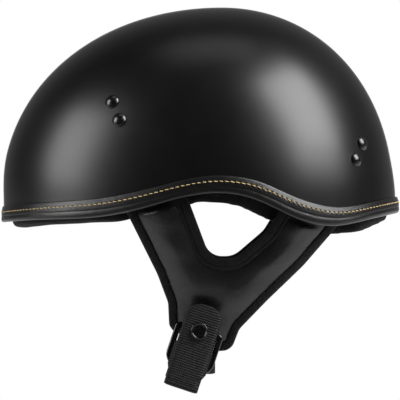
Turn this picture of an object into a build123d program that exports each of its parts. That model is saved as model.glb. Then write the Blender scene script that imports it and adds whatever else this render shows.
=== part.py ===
from build123d import *
import math
import os

# Half shell motorcycle helmet, buckled as it hangs on a head form.
# Millimetres. +Z is up, the brow faces -X and the wearer's left side is -Y.
# The origin is the middle of the head opening.

# Outer shell
front_reach = 156.4  # from the crown line forward to the brow
rear_reach = 121.8  # from the crown line back to the nape
half_width = 109.0
crown_height = 134.4
crown_setback = 15.5  # the crown and the widest place lie behind the middle
widest_level = 2.0
skirt_depth = 60.0
shell_wall = 3.5
dome_fullness_share = 0.763  # weight of the dome's conic, where 0.707 is an ellipse

# Rim: heights above its lowest point, which lies behind the ear
rim_half_length = 150.0
rim_low_level = -18.2
rim_wave = 22.9
rim_shares = (
    (-1.0, 0.144), (-0.513, 0.301), (-0.267, 0.581), (0.06, 1.0), (0.307, 0.629),
    (0.493, 0.131), (0.607, 0.0), (0.8, 0.218), (1.0, 0.489),
)
roll_shares = (
    (-1.0, -0.367), (-0.58, -0.223), (-0.325, -0.057), (-0.046, 0.62), (0.08, 0.672),
    (0.18, 0.611), (0.324, 0.179), (0.607, -0.271), (0.753, -0.118), (1.0, 0.314),
)

# Edge trim, a folded leatherette band with a bead
trim_height = 12.0
trim_leaf = 1.8
trim_gap = 0.1
bead_height = 4.6
bead_stand_off = 2.8
bead_depth = 4.5
shell_edge_height = 2.2
inner_leaf_height = 7.0

# Liner and comfort padding
liner_gap = 0.2
liner_wall = 18.5
liner_bottom = 13.0  # above the rim
pad_gap = 0.3
roll_inset = 7.0
roll_wall = 17.0
ear_pad_inset = 16.6
ear_pad_wall = 9.0
roll_edge_radius = 5.0
ear_pad_edge_radius = 2.5
panel_passage = 1.8  # room around a side panel where it goes up behind the rim
panel_swing_gap = 3.2  # room behind a side panel
crown_pad_wall = 8.0
crown_pad_radius = 62.0
crown_pad_edge_radius = 3.0
crown_pad_slot = 16.0
crown_pad_slot_length = 44.0

# Retention webbing inside the shell
webbing_thick = 1.4
webbing_width = 20.0
webbing_inset = 4.7
webbing_bottom = 5.0  # above the rim
groove_gap = 0.25
front_strap_top = (-70.5, 80.0)
front_strap_bottom = (-34.0, -4.0)
rear_strap_top = (119.0, 52.0)
rear_strap_bottom = (75.0, -13.0)
strap_end_past = 12.0

# Shell rivets, a pair on each strap, placed in the side view
front_rivets = ((-64.8, 69.2), (-56.4, 57.2))
rear_rivets = ((114.9, 41.0), (110.6, 29.6))
rivet_head = 9.6
rivet_head_height = 2.2
rivet_dome_radius = 1.76
rivet_shank = 4.0
rivet_fit = 0.1
washer_diameter = 11.0
washer_thick = 1.0
washer_gap = 0.6
bore_past = 20.0  # the bores run on past the washers
shank_past_washer = 0.8
rivet_pocket_gap = 0.6

# Side panels: padded covers that lean in toward the jaw
panel_inset = 7.0  # face of the panel behind the shell's outer surface
panel_lean = 22.0
panel_lean_level = -8.0
panel_bend_radius = 60.0
panel_bottom_level = -125.0
panel_end_level = -115.0  # nothing of a panel reaches lower
panel_tuck = 8.0  # how far the arms go up behind the trim
face_edge_radius = 0.5
panel_front_top = (-70.2, 30.0)
panel_front_knee = (-24.0, -66.0)
panel_front_heel = (-21.5, -88.0)
panel_heel = (-19.3, -91.5)
panel_toe = (11.0, -106.2)
panel_rear_toe = (21.8, -105.5)
panel_rear_heel = (27.5, -90.5)
panel_rear_hip = (88.5, -26.5)
panel_rear_rise = (95.0, -6.0)
panel_rear_top = (100.0, 30.0)
panel_corner_radii = (8.0, 6.0, 3.0, 5.0, 9.0, 12.0, 9.0, 12.0)
window_front_top = (-19.7, 30.0)
window_front_foot = (6.5, -40.5)
window_rear_foot = (22.0, -40.5)
window_rear_hip = (44.0, -22.0)
window_rear_top = (77.6, 30.0)
window_corner_radii = (13.0, 16.0, 20.0)
binding_width = 6.0
window_binding_width = 8.4
binding_thick = 1.5
face_leaf = 1.3
foam_thick = 4.2
lining_leaf = 1.2
layer_gap = 0.1

# Depths of the panel's layers, in from its face
web_depth = face_leaf + layer_gap
foam_end = web_depth + webbing_thick + foam_thick
lining_depth = foam_end + layer_gap
panel_end = lining_depth + lining_leaf

# Webbing inside each panel, a leg from each arm down to the buckle
panel_web_front_top = (-42.0, 12.0)
panel_web_rear_top = (81.0, -2.0)
panel_web_foot = (2.0, -88.0)
panel_web_width = 18.0
panel_web_tuck = 6.0  # past the foot on the buckle side
panel_web_tail = 21.0  # past the foot on the side that the chin strap is sewn to

# Buckle end, in its own upright plane tilted as the webbing lies
buckle_x = -0.4
buckle_level = -91.4
buckle_tilt = 18.5
buckle_back = 71.9  # the buckle's back plane, out from the middle of the helmet
strap_width = 25.0
strap_thick = 1.5
ring_width = 34.6
ring_length = 31.6
ring_wire = 4.3
ring_thick = 2.8
ring_gap = 0.4
ring_top_radius = 4.0
ring_bottom_radius = 10.0
ring_play = 1.2
wire_radius = 1.1
anchor_width = 23.0
anchor_top = 9.2
anchor_front_top = 5.4
anchor_lap = 2.3  # where the front layer is sewn to the back one
anchor_radius = 2.6

# Chin strap and its tail
tail_width = 23.4
hook_lift = 2.6  # the tail bunches up this far over the rings' rounded ends
strap_level = -122.0
strap_rise_front = -104.5
chin_strap_x = -1.9
left_turn_radius = 11.0
right_turn_radius = 12.0
right_foot_y = 61.2
right_foot_level = -109.4
bottom_turn = 49.0
fold_level = -41.0
fold_radius = 2.5
crease_level = -37.0
crease_gap = 0.4
tab_width = 25.4
tab_shoulder = 12.0
tab_tip = 19.0
tab_stand_off = 12.5
tab_notch = 2.2
tab_notch_level = -33.0
crease_radius = 0.6

# Snap fastener
cap_diameter = 12.2
cap_height = 2.2
cap_edge_radius = 1.4
cap_post = 4.4
socket_diameter = 10.0
socket_thick = 1.3
socket_bore = 5.6
stud_base = 9.0
stud_base_thick = 0.8
stud_neck = 3.4
stud_head = 4.6
stud_head_height = 1.0
fit = 0.1

overrun = 40.0


def egg(profile, inset):
    """Revolves a profile into front and rear halves, each stretched to its own reach."""
    half = revolve(profile, axis=Axis.Z, revolution_arc=180, mode=Mode.PRIVATE)
    width = half_width - inset
    front = scale(half, by=((front_reach - inset) / width, 1, 1), mode=Mode.PRIVATE)
    rear = scale(half, by=((rear_reach - inset) / width, 1, 1), mode=Mode.PRIVATE)
    with BuildPart() as body:
        with Locations((crown_setback, 0, 0)):
            add(front)
            add(mirror(rear, about=Plane.YZ, mode=Mode.PRIVATE))
    return body.part


def dome(inset):
    """The helmet's dome, solid, drawn in by inset all round."""
    radius = half_width - inset
    top = widest_level + crown_height - inset
    floor = widest_level - skirt_depth
    with BuildSketch(Plane.YZ) as profile:
        with BuildLine():
            Polyline((0, top), (0, floor), (radius, floor), (radius, widest_level))
            Bezier(
                (radius, widest_level), (radius, top), (0, top),
                weights=[1, dome_fullness_share, 1],
            )
        make_face()
    return egg(profile.sketch, inset)


def funnel(depth):
    """The space inside the side panels' faces, drawn in by depth: upright, then leaning in."""
    inset = panel_inset + depth
    radius = half_width - inset
    drop = panel_lean_level - panel_bottom_level
    foot = radius - drop * math.tan(math.radians(panel_lean))
    top = widest_level + overrun
    with BuildSketch(Plane.YZ) as profile:
        with BuildLine():
            FilletPolyline(
                (0, top), (radius, top), (radius, panel_lean_level), (foot, panel_bottom_level),
                (0, panel_bottom_level),
                radius=[0, 0, panel_bend_radius, 0, 0], close=True,
            )
        make_face()
    return egg(profile.sketch, inset)


def rim_points(shares, rise):
    """Points of a rim line in the side view, raised above it."""
    return [(x * rim_half_length, rim_low_level + z * rim_wave + rise) for x, z in shares]


def rim_band(low_shares, low_rise, high_shares, high_rise):
    """Everything between two rim lines, right across the helmet."""
    low = rim_points(low_shares, low_rise)
    high = rim_points(high_shares, high_rise)
    with BuildPart() as band:
        with BuildSketch(Plane.XZ):
            with BuildLine():
                Spline(low)
                Spline(high)
                Line(low[0], high[0])
                Line(low[-1], high[-1])
            make_face()
        extrude(amount=half_width + overrun, both=True)
    return band.part


def from_rim(rise, level):
    """Everything from a rim line up or down to a level."""
    line = rim_points(rim_shares, rise)
    with BuildPart() as space:
        with BuildSketch(Plane.XZ):
            with BuildLine():
                Spline(line)
                Polyline(line[-1], (rim_half_length, level), (-rim_half_length, level), line[0])
            make_face()
        extrude(amount=half_width + overrun, both=True)
    return space.part


def above_rim(rise):
    """Everything above a rim line."""
    return from_rim(rise, crown_height + overrun)


def between(outer, inner, *zones):
    """A layer between two solids, kept within each zone."""
    with BuildPart() as layer:
        add(outer)
        add(inner, mode=Mode.SUBTRACT)
        for zone in zones:
            add(zone, mode=Mode.INTERSECT)
    return layer.part


def side_prism(outline):
    """A side view outline cut through the left half."""
    with BuildPart() as prism:
        extrude(outline, amount=half_width + overrun)
    return prism.part


def strip(start, end, width, past_end=0):
    """A straight strip in the side view from one point to another and past it."""
    length = math.dist(start, end)
    angle = math.degrees(math.atan2(end[1] - start[1], end[0] - start[0]))
    with BuildSketch(Plane.XZ) as outline:
        with Locations(Location((start[0], start[1]), angle)):
            Rectangle(length + past_end, width, align=(Align.MIN, Align.CENTER))
    return outline.sketch


def panel_outline(inset=0):
    """Outer outline of a side panel in the side view."""
    with BuildSketch(Plane.XZ) as outline:
        with BuildLine():
            FilletPolyline(
                panel_front_top, panel_front_knee, panel_front_heel, panel_heel, panel_toe,
                panel_rear_toe, panel_rear_heel, panel_rear_hip, panel_rear_rise, panel_rear_top,
                radius=[0, *panel_corner_radii, 0], close=True,
            )
        make_face()
        if inset:
            offset(amount=-inset)
    return outline.sketch


def window_outline(margin=0):
    """The window between the panel's arms, open to the rim."""
    with BuildSketch(Plane.XZ) as outline:
        with BuildLine():
            FilletPolyline(
                window_front_top, window_front_foot, window_rear_foot, window_rear_hip,
                window_rear_top,
                radius=[0, *window_corner_radii, 0], close=True,
            )
        make_face()
        if margin:
            offset(amount=margin)
    return outline.sketch


def mirrored(part):
    """The same piece on the wearer's right."""
    with BuildPart() as other:
        add(mirror(part, about=Plane.XZ, mode=Mode.PRIVATE))
    return other.part


def save(builder, name):
    """Labels a finished piece and writes it."""
    builder.part.label = name
    export_step(builder.part, f"parts/{name}.step")


os.makedirs("parts", exist_ok=True)

# Solids that several pieces share
shell_surface = dome(0)
shell_inside = dome(shell_wall)
webbing_outside = dome(webbing_inset)
webbing_inside = dome(webbing_inset + webbing_thick)
liner_outside = dome(shell_wall + liner_gap)
liner_inside = dome(shell_wall + liner_gap + liner_wall)

# Rivet planes, on the shell's surface and square to it
rivet_planes = []
for across in (-1, 1):
    for rivet_x, rivet_z in front_rivets + rear_rivets:
        line_of_sight = Axis((rivet_x, across * (half_width + overrun), rivet_z), (0, -across, 0))
        hits = shell_surface.find_intersection_points(line_of_sight)
        point, normal = max(hits, key=lambda hit: hit[0].Y * across)
        outward = normal if normal.Y * across > 0 else -normal
        rivet_planes.append(Plane(origin=point, x_dir=(0, 0, 1), z_dir=outward))


def bores(radius):
    """Holes along every rivet."""
    with BuildPart() as holes:
        for plane in rivet_planes:
            with BuildSketch(plane.offset(rivet_head_height)):
                Circle(radius)
            extrude(amount=-(webbing_inset + webbing_thick + washer_thick + bore_past))
    return holes.part


# Outer shell
with BuildPart() as outer_shell:
    add(between(shell_surface, shell_inside, above_rim(shell_edge_height)))
    add(bores(rivet_shank / 2 + rivet_fit), mode=Mode.SUBTRACT)
save(outer_shell, "outer_shell")

# Edge trim: outer leaf, bead and inner leaf folded round the shell's edge
with BuildPart() as edge_trim:
    add(
        between(
            dome(-trim_gap - trim_leaf), dome(-trim_gap),
            rim_band(rim_shares, 0, rim_shares, trim_height),
        )
    )
    add(
        between(
            dome(-bead_stand_off), dome(bead_depth),
            rim_band(rim_shares, 0, rim_shares, bead_height),
        )
    )
    add(
        between(
            dome(shell_wall + trim_gap), dome(bead_depth),
            rim_band(rim_shares, 0, rim_shares, inner_leaf_height),
        )
    )
    add(
        between(
            dome(-trim_gap), dome(shell_wall + trim_gap),
            above_rim(shell_edge_height - trim_gap),
        ),
        mode=Mode.SUBTRACT,
    )
save(edge_trim, "edge_trim")

# Webbing straps that hang between shell and liner from the rivets
strap_lines = {
    "front": (front_strap_bottom, front_strap_top),
    "rear": (rear_strap_bottom, rear_strap_top),
}
strap_zone = above_rim(webbing_bottom)
groove_zone = above_rim(0)
with BuildPart() as grooves:
    for bottom, top in strap_lines.values():
        wide = strip(bottom, top, webbing_width + 2 * groove_gap, strap_end_past)
        add(
            between(
                shell_inside, dome(webbing_inset + webbing_thick + groove_gap),
                groove_zone, side_prism(wide),
            )
        )
    add(mirrored(grooves.part))
washer_pockets = []
for plane in rivet_planes:
    with BuildPart() as pocket:
        with BuildSketch(plane.offset(-shell_wall)):
            Circle(washer_diameter / 2 + rivet_pocket_gap)
        extrude(amount=-(webbing_inset + webbing_thick + 2 * washer_thick + shank_past_washer))
    washer_pockets.append(pocket.part)

for end, (bottom, top) in strap_lines.items():
    outline = strip(bottom, top, webbing_width, strap_end_past - 2 * groove_gap)
    with BuildPart() as strap:
        add(between(webbing_outside, webbing_inside, strap_zone, side_prism(outline)))
        add(bores(rivet_shank / 2 + rivet_fit), mode=Mode.SUBTRACT)
    save(strap, f"{end}_left_strap")
    with BuildPart() as strap:
        add(mirrored(between(webbing_outside, webbing_inside, strap_zone, side_prism(outline))))
        add(bores(rivet_shank / 2 + rivet_fit), mode=Mode.SUBTRACT)
    save(strap, f"{end}_right_strap")

# Impact liner
with BuildPart() as impact_liner:
    add(between(liner_outside, liner_inside, above_rim(liner_bottom)))
    add(grooves.part, mode=Mode.SUBTRACT)
    for pocket in washer_pockets:
        add(pocket, mode=Mode.SUBTRACT)
save(impact_liner, "impact_liner")

# Rivets and their backing washers, one group each
with BuildPart() as shell_rivets:
    for plane in rivet_planes:
        with BuildSketch(plane.offset(rivet_fit / 2)):
            Circle(rivet_head / 2)
        head = extrude(amount=rivet_head_height)
        with BuildSketch(plane.offset(rivet_fit / 2)):
            Circle(rivet_shank / 2)
        extrude(
            amount=-(webbing_inset + webbing_thick + washer_gap + washer_thick + shank_past_washer)
        )
        fillet(
            shell_rivets.faces().sort_by(Axis(plane.origin, plane.z_dir))[-1].edges(),
            radius=rivet_dome_radius,
        )
save(shell_rivets, "shell_rivets")

with BuildPart() as rivet_washers:
    for plane in rivet_planes:
        depth = webbing_inset + webbing_thick + washer_gap
        with BuildSketch(plane.offset(-depth)):
            Circle(washer_diameter / 2)
            Circle(rivet_shank / 2 + rivet_fit, mode=Mode.SUBTRACT)
        extrude(amount=-washer_thick)
save(rivet_washers, "rivet_washers")

# Comfort padding: a roll inside the brow and nape, flatter pads over the ears
roll_zone = rim_band(roll_shares, 0, rim_shares, liner_bottom - pad_gap)
roll = between(dome(roll_inset), dome(roll_inset + roll_wall), roll_zone)
panel_way = side_prism(panel_outline(-panel_passage))
with BuildPart() as rolls:
    add(roll)
    add(panel_way, mode=Mode.SUBTRACT)
    add(mirrored(panel_way), mode=Mode.SUBTRACT)
roll_ends = rolls.solids().sort_by(Axis.X)
for name, solid in (("brow_roll", roll_ends[0]), ("nape_roll", roll_ends[-1])):
    with BuildPart() as pad:
        add(solid)
        fillet(pad.edges(), radius=roll_edge_radius)
    save(pad, name)

ear_zone = side_prism(panel_outline(-panel_passage + 2 * pad_gap))
ear_space = funnel(panel_end + panel_swing_gap)
ear_layer = between(dome(ear_pad_inset), dome(ear_pad_inset + ear_pad_wall), roll_zone, ear_zone)
with BuildPart() as ear_pad:
    add(ear_layer)
    fillet(ear_pad.edges(), radius=ear_pad_edge_radius)
    add(ear_space, mode=Mode.INTERSECT)
save(ear_pad, "left_ear_pad")
with BuildPart() as right_ear_pad:
    add(mirrored(ear_pad.part))
save(right_ear_pad, "right_ear_pad")

pad_top = shell_wall + liner_gap + liner_wall + pad_gap
with BuildPart() as crown_pad:
    add(between(dome(pad_top), dome(pad_top + crown_pad_wall)))
    with BuildSketch(Plane.XY):
        with Locations((crown_setback, 0)):
            Circle(crown_pad_radius)
            with PolarLocations(crown_pad_radius, 4, start_angle=45):
                SlotOverall(crown_pad_slot_length, crown_pad_slot, mode=Mode.SUBTRACT)
    extrude(amount=crown_height + overrun, mode=Mode.INTERSECT)
    fillet(crown_pad.edges(), radius=crown_pad_edge_radius)
save(crown_pad, "crown_pad")

# Side panel, built on the left and mirrored
left_half = side_prism(strip((-rim_half_length, 0), (rim_half_length, 0), 2 * crown_height))
panel_zone = from_rim(panel_tuck, panel_end_level)


def panel_sheet(near, far):
    """A sheet that follows the left panel's curve between two depths."""
    return between(funnel(near), funnel(far), panel_zone, left_half)


def within(sheet, outline):
    """The part of a sheet inside a side view outline."""
    with BuildPart() as piece:
        add(sheet)
        add(side_prism(outline), mode=Mode.INTERSECT)
    return piece.part


def cut_out(sheet, outline, opening):
    """The part of a sheet inside an outline and outside an opening."""
    with BuildPart() as piece:
        add(within(sheet, outline))
        add(side_prism(opening), mode=Mode.SUBTRACT)
    return piece.part


def panel_web(extra, tail):
    """Outline of the webbing inside a panel: two legs that meet at the foot."""
    width = panel_web_width + 2 * extra
    with BuildSketch(Plane.XZ) as outline:
        add(strip(panel_web_foot, panel_web_front_top, width, panel_web_width))
        add(strip(panel_web_foot, panel_web_rear_top, width, panel_web_width))
        with Locations(panel_web_foot):
            Rectangle(width, tail + extra, align=(Align.CENTER, Align.MAX))
    return outline.sketch


face_sheet = panel_sheet(0, face_leaf)
web_sheet = panel_sheet(web_depth, web_depth + webbing_thick)
pocket_sheet = panel_sheet(face_leaf, web_depth + webbing_thick + layer_gap)
foam_sheet = panel_sheet(web_depth, foam_end)
lining_sheet = panel_sheet(lining_depth, panel_end)
full_sheet = panel_sheet(0, panel_end)
inner_outline = panel_outline(binding_width + layer_gap)
inner_opening = window_outline(window_binding_width + layer_gap)
edge_outline = panel_outline(binding_thick + layer_gap)
edge_opening = window_outline(binding_thick + layer_gap)
with BuildPart() as panel_face:
    add(cut_out(face_sheet, inner_outline, inner_opening))
    fillet(panel_face.edges(), radius=face_edge_radius)
panel_lining = cut_out(lining_sheet, inner_outline, inner_opening)
panel_foam = cut_out(foam_sheet, edge_outline, edge_opening)

with BuildPart() as outer_binding:
    add(cut_out(full_sheet, panel_outline(), panel_outline(binding_thick)))
    add(cut_out(face_sheet, panel_outline(), panel_outline(binding_width)))
    add(cut_out(lining_sheet, panel_outline(), panel_outline(binding_width)))
    add(side_prism(window_outline()), mode=Mode.SUBTRACT)

with BuildPart() as window_binding:
    add(cut_out(full_sheet, window_outline(binding_thick), window_outline()))
    add(cut_out(face_sheet, window_outline(window_binding_width), window_outline()))
    add(cut_out(lining_sheet, window_outline(window_binding_width), window_outline()))
    add(side_prism(panel_outline()), mode=Mode.INTERSECT)

for side, tail in (("left", panel_web_tuck), ("right", panel_web_tail)):
    pocket = within(pocket_sheet, panel_web(layer_gap, tail))
    pieces = {
        "panel_face": panel_face.part,
        "strap_web": within(web_sheet, panel_web(0, tail)),
        "panel_padding": between(panel_foam, pocket),
        "panel_lining": panel_lining,
        "outer_binding": between(outer_binding.part, pocket),
        "window_binding": between(window_binding.part, pocket),
    }
    for name, solid in pieces.items():
        with BuildPart() as piece:
            add(solid if side == "left" else mirrored(solid))
        save(piece, f"{side}_{name}")

# Buckle planes: face_on looks at the buckle with Y up the webbing, edge_on looks
# along its width with X outward
tilt = math.radians(buckle_tilt)
along_width = Vector(math.cos(tilt), 0, -math.sin(tilt))
buckle_origin = Vector(buckle_x, -buckle_back, buckle_level)
face_on = Plane(origin=buckle_origin, x_dir=along_width, z_dir=(0, -1, 0))
edge_on = Plane(origin=buckle_origin, x_dir=(0, -1, 0), z_dir=-along_width)

# D-rings, one behind the other, their straight bars in the anchor loop
rear_ring_depth = strap_thick + ring_gap
front_ring_depth = rear_ring_depth + ring_thick + ring_gap
ring_stack = front_ring_depth + ring_thick
bar_drop = ring_length - ring_wire
for name, depth in (("d_ring_rear", rear_ring_depth), ("d_ring_front", front_ring_depth)):
    with BuildPart() as ring:
        with BuildSketch(face_on.offset(depth)):
            with Locations((0, ring_wire / 2)):
                Rectangle(ring_width, ring_length, align=(Align.CENTER, Align.MAX))
            fillet(vertices().group_by(Axis.Y)[-1], radius=ring_top_radius)
            fillet(vertices().group_by(Axis.Y)[0], radius=ring_bottom_radius)
            offset(amount=-ring_wire, mode=Mode.SUBTRACT)
        extrude(amount=ring_thick)
        fillet(ring.edges(), radius=wire_radius)
    save(ring, name)

# Anchor loop of webbing round both bars
loop_front = ring_stack + ring_gap + strap_thick / 2
with BuildPart() as anchor_loop:
    with BuildSketch(edge_on):
        with BuildLine():
            FilletPolyline(
                (strap_thick / 2, anchor_top),
                (strap_thick / 2, -ring_wire / 2 - ring_gap - strap_thick / 2),
                (loop_front, -ring_wire / 2 - ring_gap - strap_thick / 2),
                (loop_front, anchor_front_top),
                (anchor_lap, anchor_top - strap_thick / 2),
                radius=[anchor_radius, anchor_radius, strap_thick],
            )
        trace(line_width=strap_thick)
    extrude(amount=anchor_width / 2, both=True)
save(anchor_loop, "anchor_loop")

# Chin strap: under the chin from the right panel, through the rings and down to the fold
hook_back = rear_ring_depth - ring_play - strap_thick / 2
hook_front = ring_stack + ring_play + strap_thick / 2
hook_top = -bar_drop + ring_wire / 2 + hook_lift + strap_thick / 2
fold_front = tab_stand_off + strap_thick / 2
with BuildPart() as chin_strap:
    with BuildSketch(Plane.YZ.offset(chin_strap_x)):
        with BuildLine():
            FilletPolyline(
                (-buckle_back - hook_back, strap_rise_front),
                (-buckle_back - hook_back, strap_level + strap_thick / 2),
                (bottom_turn, strap_level + strap_thick / 2),
                (right_foot_y, right_foot_level),
                radius=[left_turn_radius, right_turn_radius],
            )
        trace(line_width=strap_thick)
    extrude(amount=strap_width / 2, both=True)
    with BuildSketch(edge_on):
        with BuildLine():
            FilletPolyline(
                (hook_back, -bar_drop - ring_wire),
                (hook_back, hook_top),
                (hook_front, hook_top),
                (hook_front, fold_level + strap_thick / 2),
                (fold_front, fold_level + strap_thick / 2),
                (fold_front, crease_level - crease_gap),
                radius=[ring_play, ring_play, fold_radius / 2, fold_radius / 2],
            )
        trace(line_width=strap_thick)
    extrude(amount=tail_width / 2, both=True)
save(chin_strap, "chin_strap")

# Snap tab: the strap's end, folded up in front of the rings
with BuildPart() as snap_tab:
    with BuildSketch(face_on.offset(tab_stand_off)):
        with BuildLine():
            Polyline(
                (-tab_width / 2, tab_shoulder), (-tab_width / 2, crease_level),
                (tab_width / 2 - tab_notch, crease_level),
                (tab_width / 2 - tab_notch, tab_notch_level),
                (tab_width / 2, tab_notch_level + tab_notch), (tab_width / 2, tab_shoulder),
            )
            ThreePointArc(
                (tab_width / 2, tab_shoulder), (0, tab_tip), (-tab_width / 2, tab_shoulder)
            )
        make_face()
        Circle(cap_post / 2 + fit, mode=Mode.SUBTRACT)
    extrude(amount=strap_thick)
    foot = snap_tab.edges().group_by(Axis((0, 0, 0), face_on.y_dir))[0]
    fillet(foot.filter_by(Axis((0, 0, 0), along_width)), radius=crease_radius)
save(snap_tab, "snap_tab")

# Snap fastener: cap and post on the tab's front, socket on its back, stud on the anchor
with BuildPart() as snap_cap:
    with BuildSketch(face_on.offset(tab_stand_off + strap_thick)):
        Circle(cap_diameter / 2)
    extrude(amount=cap_height)
    fillet(snap_cap.faces().sort_by(Axis.Y)[0].edges(), radius=cap_edge_radius)
    with BuildSketch(face_on.offset(tab_stand_off + strap_thick)):
        Circle(cap_post / 2)
    extrude(amount=-strap_thick)
save(snap_cap, "snap_cap")

with BuildPart() as snap_socket:
    with BuildSketch(face_on.offset(tab_stand_off)):
        Circle(socket_diameter / 2)
        Circle(socket_bore / 2, mode=Mode.SUBTRACT)
    extrude(amount=-socket_thick)
save(snap_socket, "snap_socket")

stud_foot = ring_stack + ring_gap + strap_thick
with BuildPart() as snap_stud:
    with BuildSketch(face_on.offset(stud_foot)):
        Circle(stud_base / 2)
    extrude(amount=stud_base_thick)
    with BuildSketch(face_on.offset(stud_foot + stud_base_thick)):
        Circle(stud_neck / 2)
    extrude(amount=tab_stand_off - stud_foot - stud_base_thick - stud_head_height)
    with BuildSketch(face_on.offset(tab_stand_off - stud_head_height - fit)):
        Circle(stud_head / 2)
    extrude(amount=stud_head_height)
save(snap_stud, "snap_stud")
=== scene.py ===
import functools
import math

import bmesh
import bpy
import numpy as np
from bpy.props import FloatProperty, FloatVectorProperty, PointerProperty
from bpy.types import Operator, Panel, PropertyGroup
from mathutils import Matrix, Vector
from mathutils.geometry import delaunay_2d_cdt


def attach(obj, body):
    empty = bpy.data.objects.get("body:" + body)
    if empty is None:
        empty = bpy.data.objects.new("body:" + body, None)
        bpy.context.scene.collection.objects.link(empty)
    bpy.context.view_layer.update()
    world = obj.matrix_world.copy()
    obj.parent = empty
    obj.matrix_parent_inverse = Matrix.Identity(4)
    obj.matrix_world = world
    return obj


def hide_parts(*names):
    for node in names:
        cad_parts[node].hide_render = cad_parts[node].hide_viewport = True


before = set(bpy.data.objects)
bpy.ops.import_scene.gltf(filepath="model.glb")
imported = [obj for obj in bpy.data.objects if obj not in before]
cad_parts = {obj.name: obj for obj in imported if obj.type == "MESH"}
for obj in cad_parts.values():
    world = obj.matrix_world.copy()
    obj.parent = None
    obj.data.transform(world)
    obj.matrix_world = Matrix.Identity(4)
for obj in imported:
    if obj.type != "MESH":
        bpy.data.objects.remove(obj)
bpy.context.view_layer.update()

bl_info = {
    "name": "Half Shell Helmet",
    "version": (1, 0, 0),
    "blender": (4, 5, 0),
    "location": "3D View > Sidebar > Helmet",
    "description": "Builds a half shell helmet: shell, trim, padding, side panels and strap",
    "category": "Add Mesh",
}

MM = 0.001

# Rim line in the side view, as shares of the rim's half length and of its wave
RIM_HALF_LENGTH = 150.0 * MM
RIM_LOW_LEVEL = -18.2 * MM
RIM_WAVE = 22.9 * MM
RIM_SHARES = (
    (-1.0, 0.044), (-0.768, 0.174), (-0.468, 0.27), (-0.234, 0.58), (0.074, 0.992),
    (0.258, 0.788), (0.445, 0.225), (0.628, 0.0), (0.798, 0.2), (1.0, 0.455),
)

# The shell's skirt, whose rows ease from the rim line to level, ends here
SKIRT_TOP = 24.0 * MM

# Height of the stitches above the rim line along the helmet, as shares of its half length
# and of the usual height
STITCH_RISE = 8.6 * MM
STITCH_SHARES = (
    (-1.0, 0.86), (-0.8, 0.89), (-0.6, 1.01), (-0.2, 1.0), (0.18, 1.0), (0.32, 1.16),
    (0.44, 1.24), (0.56, 1.16), (0.7, 0.96), (0.85, 0.9), (1.0, 0.9),
)

# The trim's section: out from the shell's surface, and up from the rim line, in mm. The
# stitched leaf slopes out over a recess, and a round bead hangs below it.
TRIM_SECTION = (
    (0.1, 11.2), (0.1, 12.0), (0.3, 12.45), (0.75, 12.6), (1.15, 12.3), (1.42, 11.5),
    (1.72, 10.4), (1.98, 9.5), (2.1, 9.05), (2.02, 8.6), (2.13, 8.15), (2.19, 7.4), (2.23, 6.6),
    (2.25, 5.9), (2.22, 5.35), (2.12, 5.05), (2.12, 4.75), (2.24, 4.35), (2.34, 3.7), (2.38, 3.0),
    (2.34, 2.2), (2.15, 1.4), (1.8, 0.75), (1.3, 0.32), (0.7, 0.08), (0.0, 0.0),
    (-1.2, 0.0), (-2.4, 0.05), (-3.5, 0.35), (-4.2, 1.0), (-4.5, 2.0), (-4.5, 4.4),
    (-4.5, 6.3), (-4.3, 6.9), (-3.8, 7.0), (-3.62, 6.4),
)

# Stitches: how far they stand out from the shell, rise in the middle and sink at their ends,
# and the grooves that they draw across some rows of the section
STITCH_OUT = 2.1 * MM
STITCH_LIFT = 0.22 * MM
STITCH_SINK = 0.8 * MM
GROOVE_ROWS = range(8, 11)
GROOVE_DEPTH = 0.11 * MM

# Rivets in the side view, and the section of their heads out from the shell, in mm
RIVETS = ((-61.3, 68.2), (-56.3, 55.35), (113.4, 39.3), (109.1, 28.0))
RIVET_SECTION = (
    (5.15, -0.6), (5.2, 0.0), (5.2, 0.35), (5.0, 0.75), (4.4, 1.4), (3.5, 2.05), (2.4, 2.55),
    (1.2, 2.85), (0.02, 2.95),
)

# Rolls inside the rim: the turn at the middle, half the turn, from where to where they draw
# in behind the panels, and their lower lines as shares of the rim's half length and wave
ROLLS = {
    "brow_roll": (math.pi, math.radians(63.0), (-63.0, -54.0), (
        (-1.0, -0.12), (-0.87, -0.1), (-0.8, -0.06), (-0.71, 0.02), (-0.57, 0.04),
        (-0.52, 0.075), (-0.43, 0.085), (-0.33, 0.0),
    )),
    "nape_roll": (0.0, math.radians(48.0), (107.0, 99.0), (
        (0.5, -0.4), (0.607, -0.38), (0.68, -0.31), (0.753, -0.19), (0.86, 0.13), (1.0, 0.34),
    )),
}

# Depths of the rolls in from the dome, outside, outside behind the panels and inside, and
# the height of their tops above the rim line
ROLL_OUTER = 5.2 * MM
ROLL_BEHIND = 17.8 * MM
ROLL_INNER = 24.0 * MM
ROLL_TOP = 12.6 * MM

# How far the lower edge of an ear pad is let down, more at the rear, and the height above
# the rim line from which the pad stays as it is
EAR_DROP = 1.5 * MM
EAR_REAR_DROP = 1.0 * MM
EAR_REAR_FROM = 10.0 * MM
EAR_REAR_OVER = 25.0 * MM
EAR_FIXED = 3.0 * MM

# Side panels in the side view, in mm, with the radii of their corners
PANEL_OUTLINE = (
    (-70.2, 30.0), (-29.7, -52.0), (-22.3, -72.0), (-21.6, -88.0), (-19.0, -91.5), (11.0, -106.2),
    (21.8, -105.5), (27.5, -90.5), (47.0, -70.3), (72.0, -46.3), (97.0, -17.6), (101.0, -4.0),
    (104.0, 30.0),
)
PANEL_RADII = (60.0, 10.0, 6.0, 3.0, 5.0, 9.0, 12.0, 60.0, 60.0, 6.0, 12.0)
WINDOW_OUTLINE = ((-19.7, 30.0), (6.9, -41.0), (24.2, -41.0), (46.0, -22.4), (78.6, 30.0))
WINDOW_RADII = (13.0, 16.0, 20.0)

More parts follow.
